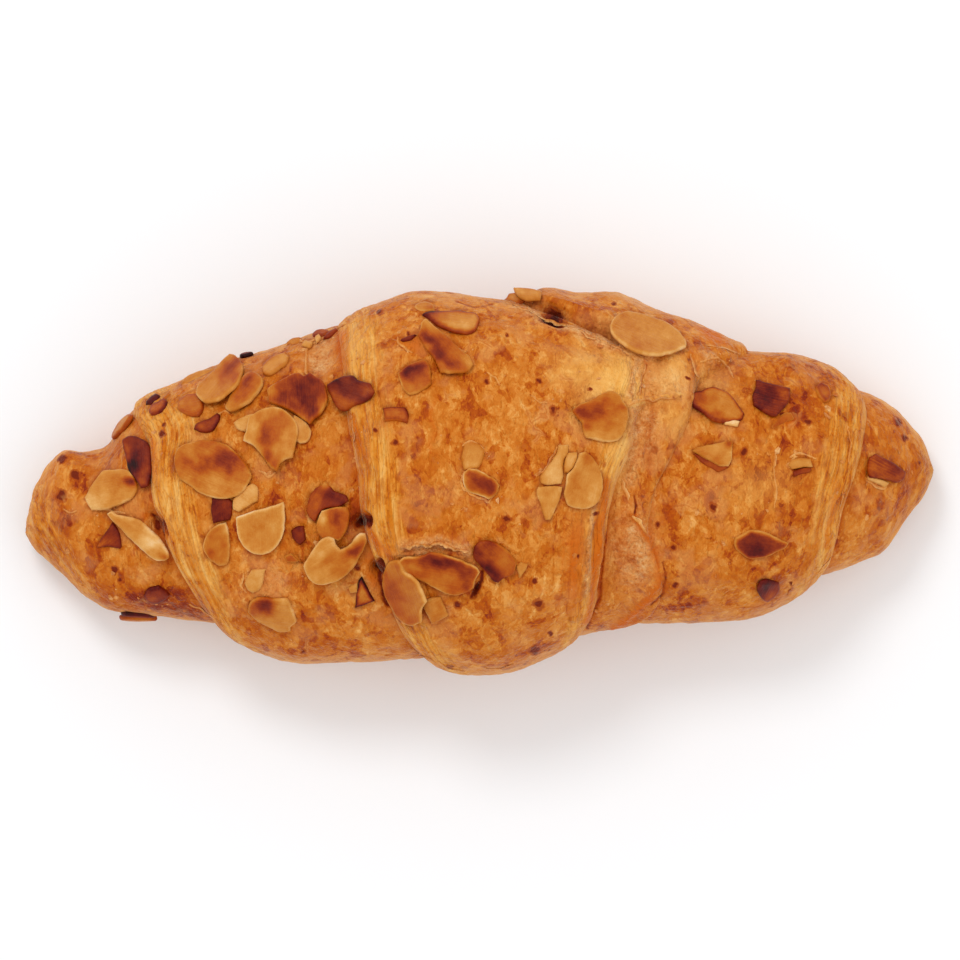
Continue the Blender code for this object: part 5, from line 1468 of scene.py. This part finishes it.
def build_scatters(dough, crust):
    """Crumbs and shards over the upper crust, one piece for each kind."""
    ground = loose_ground(dough)
    pieces = []
    for name, (shape, density, smallest, largest, flatness, seed) in SCATTERS.items():
        modifier = ground.modifiers.new(name, "NODES")
        modifier.node_group = make_scatter_tree(name, shape)
        values = {"Density": density, "Smallest": smallest * MM, "Largest": largest * MM,
                  "Flatness": flatness, "Seed": seed, "Material": crust}
        for socket in modifier.node_group.interface.items_tree:
            if socket.in_out == "INPUT" and socket.name in values:
                modifier[socket.identifier] = values[socket.name]
        ground.update_tag()
        bpy.context.view_layer.update()
        result = ground.evaluated_get(bpy.context.evaluated_depsgraph_get())
        mesh = bpy.data.meshes.new_from_object(result)
        ground.modifiers.clear()
        mesh.name = name
        pieces.append(new_piece(name, mesh))
    bpy.data.objects.remove(ground)
    return pieces


# ---- camera, light, floor

WORLD_STRENGTH = 0.86
# Each light: place in metres, diameter, power.
LIGHTS = {
    "key": ((-0.35, 0.75, 1.2), 0.45, 5.4),
    "fill": ((0.9, -0.5, 1.1), 1.2, 2.2),
}
FLOOR_SIZE = 6
FLOOR_COLOUR = (0.925, 0.935, 0.95, 1)
FLOOR_ROUGHNESS = 0.9


def add_camera():
    camera_data = bpy.data.cameras.new("camera")
    camera_data.sensor_width = SENSOR
    camera_data.lens = SENSOR * (VIEW_DISTANCE - WIDEST_LINE) / FRAME_WIDTH
    camera_data.clip_end = 10
    camera = new_piece("camera", camera_data)
    camera.location = (0, 0, VIEW_DISTANCE)
    bpy.context.scene.camera = camera


def add_light(name, location, size, power):
    light_data = bpy.data.lights.new(name, "AREA")
    light_data.shape = "DISK"
    light_data.size = size
    light_data.energy = power
    light = new_piece(name, light_data)
    light.location = location
    light.rotation_euler = (-Vector(location)).to_track_quat("-Z", "Y").to_euler()


def add_floor():
    bpy.ops.mesh.primitive_plane_add(size=FLOOR_SIZE)
    floor = bpy.context.object
    floor.name = "floor"
    material = bpy.data.materials.new("pale_floor")
    material.use_nodes = True
    shader = material.node_tree.nodes["Principled BSDF"]
    shader.inputs["Base Color"].default_value = FLOOR_COLOUR
    shader.inputs["Roughness"].default_value = FLOOR_ROUGHNESS
    floor.data.materials.append(material)


def add_surroundings():
    scene = bpy.context.scene
    scene.view_settings.view_transform = "Standard"
    world = bpy.data.worlds.new("studio")
    world.use_nodes = True
    background = world.node_tree.nodes["Background"]
    background.inputs["Color"].default_value = (1, 1, 1, 1)
    background.inputs["Strength"].default_value = WORLD_STRENGTH
    scene.world = world
    for name, (location, size, power) in LIGHTS.items():
        add_light(name, location, size, power)
    add_floor()


# ---- colours

CRUST_VEIL = 0.013  # pale light that the crust's shine adds to every colour
ALMOND_VEIL = 0.017  # the same for the glossier almonds
DARKEST_PAINT = 0.002

# Colours as they look on screen, each at its tone: 0 is the palest, 1 the darkest.
CRUST_STOPS = (
    (0.0, (236, 176, 104)), (0.2, (222, 148, 72)), (0.4, (208, 124, 50)), (0.58, (194, 104, 36)),
    (0.74, (178, 84, 26)), (0.88, (158, 66, 22)), (1.0, (134, 50, 20)),
)
LAYER_STOPS = (
    (0.0, (240, 186, 108)), (0.28, (231, 162, 78)), (0.5, (219, 137, 50)), (0.75, (199, 106, 30)),
    (1.0, (160, 70, 24)),
)
PALE_STOPS = (
    (0.0, (250, 200, 118)), (0.35, (243, 178, 86)), (0.65, (227, 149, 58)), (1.0, (200, 114, 36)),
)
RAW_STOPS = (
    (0.0, (252, 206, 146)), (0.4, (238, 170, 104)), (0.7, (218, 134, 72)), (1.0, (190, 100, 50)),
)
ALMOND_STOPS = (
    (0.0, (242, 208, 160)), (0.18, (226, 172, 104)), (0.34, (206, 138, 66)), (0.48, (190, 112, 46)),
    (0.6, (176, 86, 34)), (0.74, (140, 58, 28)), (0.88, (100, 40, 22)), (1.0, (56, 22, 14)),
)
# Colours that are laid over these, as they look on screen. Some are painted shade: in the creases, at the
# foot of the almonds, and in holes and hollows, where it takes the burnt specks' colours.
PAINTS = {
    "dry": (210, 144, 92), "side": (230, 170, 106), "orange_layer": (206, 116, 32),
    "red": (204, 100, 20), "lip": (238, 188, 122), "crease_shade": (176, 78, 20), "stain_and_shade": (146, 62, 20),
    "speck_and_shade_rim": (164, 72, 28), "speck_and_shade": (112, 42, 20), "speck_and_shade_middle": (62, 22, 12),
    "freckle": (160, 66, 24), "crack_lip": (226, 160, 92), "crack": (186, 92, 32),
}
# Rings of a burnt speck, and of the painted shade in holes and hollows: paint, where its darkness begins and
# is full, strength.
SPECK_AND_SHADE_RINGS = (
    ("speck_and_shade_rim", 0.14, 0.30, 0.8), ("speck_and_shade", 0.34, 0.52, 0.9), ("speck_and_shade_middle", 0.72, 0.95, 0.85),
)
SHEEN_TINT = (240, 212, 180)


def linear(red, green, blue):
    """A colour given as it looks on screen, from 0 to 255, in the renderer's linear values."""
    def channel(value):
        value /= 255
        return value / 12.92 if value <= 0.04045 else ((value + 0.055) / 1.055) ** 2.4
    return (channel(red), channel(green), channel(blue), 1.0)


def base_colour(red, green, blue, veil=CRUST_VEIL):
    """The paint that looks like this colour once the shine's veil lies on it."""
    return tuple(max(part - veil, DARKEST_PAINT) for part in linear(red, green, blue)[:3]) + (1.0,)


def colours(stops, veil=CRUST_VEIL):
    return [(position, base_colour(*colour, veil)) for position, colour in stops]


# ---- materials

def new_group(name, inputs, outputs):
    """A shader node group with named number and colour sockets."""
    tree = bpy.data.node_groups.new(name, "ShaderNodeTree")
    for socket, value in inputs.items():
        kind = "NodeSocketVector" if value is None else "NodeSocketFloat"
        made = tree.interface.new_socket(name=socket, in_out="INPUT", socket_type=kind)
        if value is not None:
            made.default_value = value
    for socket, kind in outputs.items():
        tree.interface.new_socket(name=socket, in_out="OUTPUT", socket_type=kind)
    nodes = Nodes(tree)
    return nodes, nodes.add("NodeGroupInput").outputs, nodes.add("NodeGroupOutput").inputs


def use_group(nodes, name, inputs):
    node = nodes.add("ShaderNodeGroup", node_tree=bpy.data.node_groups[name])
    for socket, value in inputs.items():
        nodes.feed(node.inputs[socket], value)
    return node.outputs


def make_baking_group():
    """Browning: how dark each spot is baked, from broad patches, small blisters and grain."""
    nodes, given, out = new_group(
        "browning", {"Place": None, "Patch Size": 5.0, "Grain": 0.1},
        {"Tone": "NodeSocketFloat", "Height": "NodeSocketFloat"})
    scale = nodes.math("DIVIDE", 1000.0, given["Patch Size"])
    place = nodes.vector("MULTIPLY", given["Place"], (1.25, 0.8, 1.0))

    def field(times, detail=2.0, roughness=0.5, distortion=0.0):
        return nodes.noise(place, nodes.times(scale, times), detail, roughness, distortion)

    def blotches(times, smoothness):
        """A random value round 0 for each blister, and how far a spot lies from its middle."""
        node = nodes.add("ShaderNodeTexVoronoi", {
            "Vector": warped, "Scale": nodes.times(scale, times), "Smoothness": smoothness},
            feature="SMOOTH_F1")
        value = nodes.add("ShaderNodeSeparateXYZ", {0: node.outputs["Color"]}).outputs[0]
        return nodes.centred(value), node.outputs["Distance"]

    warped = nodes.vector("ADD", place, nodes.crook(place, nodes.times(scale, 2.6), 0.0042, 3.0, 0.6))
    patches = field(1.0, 4.0, 0.62, 1.1)
    deep = nodes.spread(field(1.35, 4.0, 0.62, 0.5), 0.55, 0.59)
    tan = nodes.spread(field(1.9, 3.0, 0.60, 0.7), 0.55, 0.59)
    grain = field(9.0, 3.0, 0.65)
    large_value, _ = blotches(1.9, 0.12)
    small_value, small_gap = blotches(4.2, 0.16)
    pale_blister = nodes.times(nodes.spread(small_gap, 0.50, 0.30), nodes.spread(field(0.9), 0.44, 0.56))
    tone = nodes.plus(0.485, nodes.centred(patches), 0.7)
    for value, amount in (
            (nodes.centred(field(0.23)), 0.5), (deep, 0.24), (tan, -0.15), (large_value, 0.24),
            (small_value, 0.16), (pale_blister, -0.10), (nodes.centred(grain), given["Grain"]),
            (nodes.centred(field(26.0, 2.0, 0.6)), nodes.times(given["Grain"], 0.5))):
        tone = nodes.plus(tone, value, amount)
    domes = nodes.cells(warped, nodes.times(scale, 2.4), "F1")
    height = nodes.plus(nodes.times(patches, 0.8), domes, -0.55)
    nodes.feed(out["Tone"], tone)
    nodes.feed(out["Height"], nodes.plus(height, grain, 0.22))


def new_material(name):
    material = bpy.data.materials.new(name)
    material.use_nodes = True
    shader = material.node_tree.nodes["Principled BSDF"]
    return material, Nodes(material.node_tree), shader


def bare_crust(nodes, place, browned, brown):
    """The smooth crust on the back of a turn, and paler on its steep sides."""
    tone = nodes.plus(browned, brown, 0.5)
    tone = nodes.plus(tone, nodes.attribute("under"), 0.3)
    colour = nodes.ramp(tone, colours(CRUST_STOPS))
    dry = nodes.spread(nodes.noise(place, 130.0, 3.0, 0.6), 0.5, 0.62)
    colour = nodes.paint(colour, dry, 0.28, "dry")
    side = nodes.times(nodes.attribute("side"), nodes.spread(tone, 1.25, 0.35))
    return nodes.paint(colour, side, 0.55, "side")


def streaks_along(nodes, stretch):
    """A place that is drawn out along the layers, so that noise there runs in streaks."""
    return nodes.join(nodes.attribute("across"), nodes.times(nodes.attribute("along"), stretch))


def lay_layers(nodes, colour, place, browned, brown, layer):
    """The layers along the edges of the turns. Returns the colour, streaks and fine lines."""
    streak_place = streaks_along(nodes, 0.06)
    streaks = nodes.noise(streak_place, 0.9, 3.0, 0.6)
    line_gap = nodes.math("ABSOLUTE", nodes.centred(nodes.noise(streaks_along(nodes, 0.09), 1.5, 1.0)))
    fine_lines = nodes.spread(line_gap, 0.030, 0.006)
    tone = nodes.plus(0.42, nodes.centred(streaks), 1.7)
    tone = nodes.plus(tone, fine_lines, 0.2)
    tone = nodes.plus(tone, brown, 0.3)
    tone = nodes.plus(tone, nodes.centred(browned), 0.5)
    layers = nodes.ramp(tone, colours(LAYER_STOPS))
    whole = nodes.spread(nodes.noise(place, 210.0, 3.0, 0.6), 0.62, 0.40)
    colour = nodes.mix(nodes.times(layer, nodes.plus(0.6, whole, 0.4)), colour, layers)
    orange = nodes.spread(nodes.noise(streak_place, 0.42, 2.0), 0.56, 0.64)
    return nodes.paint(colour, nodes.times(orange, layer), 0.55, "orange_layer"), streaks, fine_lines


def lay_pale(nodes, colour, browned):
    """The pale dough between the layers, where they have pulled apart."""
    tone = nodes.plus(-0.24, nodes.noise(streaks_along(nodes, 0.14), 1.3, 4.0, 0.62), 0.9)
    tone = nodes.plus(tone, nodes.centred(browned), 0.5)
    return nodes.mix(nodes.times(nodes.attribute("pale"), 0.9), colour, nodes.ramp(tone, colours(PALE_STOPS)))


def lay_raw(nodes, colour, raw, crumb, crumb_patch, brown):
    """The open crumb where the crust has torn or come off."""
    tone = nodes.plus(0.5, nodes.centred(crumb), 1.5)
    tone = nodes.plus(tone, nodes.centred(crumb_patch), 1.5)
    tone = nodes.plus(tone, brown, 0.35)
    return nodes.mix(nodes.times(raw, 0.9), colour, nodes.ramp(tone, colours(RAW_STOPS)))


def lay_marks(nodes, colour, place):
    """Red and torn crust, painted shade in the creases, browning and painted shade beside the almonds, burnt
    specks with painted shade in the holes, and freckles.
    """
    colour = nodes.paint(colour, nodes.attribute("red"), 0.85, "red")
    colour = nodes.paint(colour, nodes.attribute("lip"), 0.85, "lip")
    # Painted shade in the creases between the turns.
    colour = nodes.paint(colour, nodes.attribute("crease_shade"), 0.6, "crease_shade")
    # Browning and painted shade at the foot of each almond.
    stain_and_shade_edge = nodes.spread(nodes.noise(place, 520.0, 3.0, 0.6), 0.38, 0.60)
    colour = nodes.paint(colour, nodes.times(nodes.attribute("stain_and_shade"), stain_and_shade_edge), 0.6, "stain_and_shade")
    # Burnt specks, and painted shade in the holes and hollows of the dark channel.
    speck_and_shade_edge = nodes.times(nodes.centred(nodes.noise(place, 1300.0, 2.0, 0.6)), 0.5)
    speck_and_shade = nodes.math("ADD", nodes.attribute("dark"), speck_and_shade_edge)
    for tint, low, high, strength in SPECK_AND_SHADE_RINGS:
        share = nodes.spread(speck_and_shade, low, high, strength)
        colour = nodes.mix(share, colour, base_colour(*PAINTS[tint]))
    freckle = nodes.times(nodes.spread(nodes.cells(place, 240.0, "F1"), 0.24, 0.16),
                          nodes.spread(nodes.noise(place, 62.0), 0.54, 0.62))
    return nodes.paint(colour, freckle, 0.6, "freckle")


def lay_cracks(nodes, colour, place, layer):
    """Fine cracks of the bare crust, with pale lips."""
    crack_place = nodes.vector("ADD", place, nodes.crook(place, 170.0, 0.008, 3.0))
    edge_gap = nodes.cells(crack_place, 120.0, "DISTANCE_TO_EDGE")
    where = nodes.times(nodes.spread(nodes.noise(place, 150.0, 2.0), 0.60, 0.70),
                        nodes.math("SUBTRACT", 1.0, layer))
    lip = nodes.times(nodes.spread(edge_gap, 0.075, 0.030), where)
    crack = nodes.times(nodes.spread(edge_gap, 0.026, 0.008), where)
    colour = nodes.paint(colour, lip, 0.4, "crack_lip")
    return nodes.paint(colour, crack, 0.5, "crack")


def crust_material():
    material, nodes, shader = new_material("baked_crust")
    place = nodes.place()
    browning = use_group(nodes, "browning", {"Place": place, "Patch Size": 5.2, "Grain": 0.24})
    browned = browning["Tone"]
    brown, layer, raw = (nodes.attribute(name) for name in ("brown", "layer", "raw"))
    crumb = nodes.noise(place, 1500.0, 3.0, 0.7)
    crumb_patch = nodes.noise(place, 420.0, 3.0, 0.6)

    colour = bare_crust(nodes, place, browned, brown)
    colour, streaks, fine_lines = lay_layers(nodes, colour, place, browned, brown, layer)
    colour = lay_pale(nodes, colour, browned)
    colour = lay_raw(nodes, colour, raw, crumb, crumb_patch, brown)
    colour = lay_marks(nodes, colour, place)
    colour = lay_cracks(nodes, colour, place, layer)

    height = nodes.plus(browning["Height"], streaks, nodes.times(layer, 0.5))
    height = nodes.plus(height, fine_lines, nodes.times(layer, -0.10))
    height = nodes.plus(height, crumb, raw)
    height = nodes.plus(height, crumb_patch, nodes.times(raw, 0.9))
    bump = nodes.add("ShaderNodeBump", {"Strength": 1.0, "Distance": 0.0008, "Height": height})
    for socket, value in {
            "Base Color": colour, "Roughness": nodes.plus(0.66, browned, -0.3),
            "Normal": bump.outputs["Normal"], "Specular IOR Level": 0.08, "Sheen Weight": 0.36,
            "Sheen Roughness": 0.25, "Sheen Tint": linear(*SHEEN_TINT)}.items():
        nodes.feed(shader.inputs[socket], value)
    return material


def almond_material():
    material, nodes, shader = new_material("toasted_almond")
    place = nodes.attribute("grain", "Vector")
    clear = nodes.attribute("clear_grain")
    grain = nodes.noise(nodes.vector("MULTIPLY", place, (0.22, 2.6, 1.0)), 1.5, 3.0, 0.62)
    fine_grain = nodes.noise(nodes.vector("MULTIPLY", place, (0.3, 7.0, 1.0)), 1.0, 2.0, 0.6)
    cloud = nodes.noise(place, 0.55, 3.0, 0.6)
    specks = nodes.noise(place, 6.0, 2.0, 0.6)
    tone = nodes.plus(nodes.attribute("toast"), nodes.times(nodes.centred(grain), clear), 0.16)
    tone = nodes.plus(tone, nodes.times(nodes.centred(fine_grain), clear), 0.12)
    tone = nodes.plus(tone, nodes.centred(cloud), 0.34)
    tone = nodes.plus(tone, nodes.centred(specks), 0.12)
    height = nodes.plus(grain, specks, 0.5)
    bump = nodes.add("ShaderNodeBump", {"Strength": 0.35, "Distance": 0.00035, "Height": height})
    for socket, value in {
            "Base Color": nodes.ramp(tone, colours(ALMOND_STOPS, ALMOND_VEIL)),
            "Roughness": nodes.plus(0.3, grain, 0.25), "Normal": bump.outputs["Normal"],
            "Specular IOR Level": 0.13}.items():
        nodes.feed(shader.inputs[socket], value)
    return material


# ---- the whole roll

def finish_pieces(dough, almonds, crust):
    for piece in dough:
        if not piece.data.materials:
            piece.data.materials.append(crust)
    for piece in dough + [almonds]:
        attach(piece, "root")
        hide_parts("croissant")


def main():
    add_camera()
    add_surroundings()
    make_baking_group()
    dough = build_dough()
    crust = crust_material()
    tree = crust_tree(dough)
    almonds = build_almonds(dough, tree)
    loose = build_scatters(dough, crust)
    finish_pieces(dough + [build_tears(tree)] + loose, almonds, crust)


main()
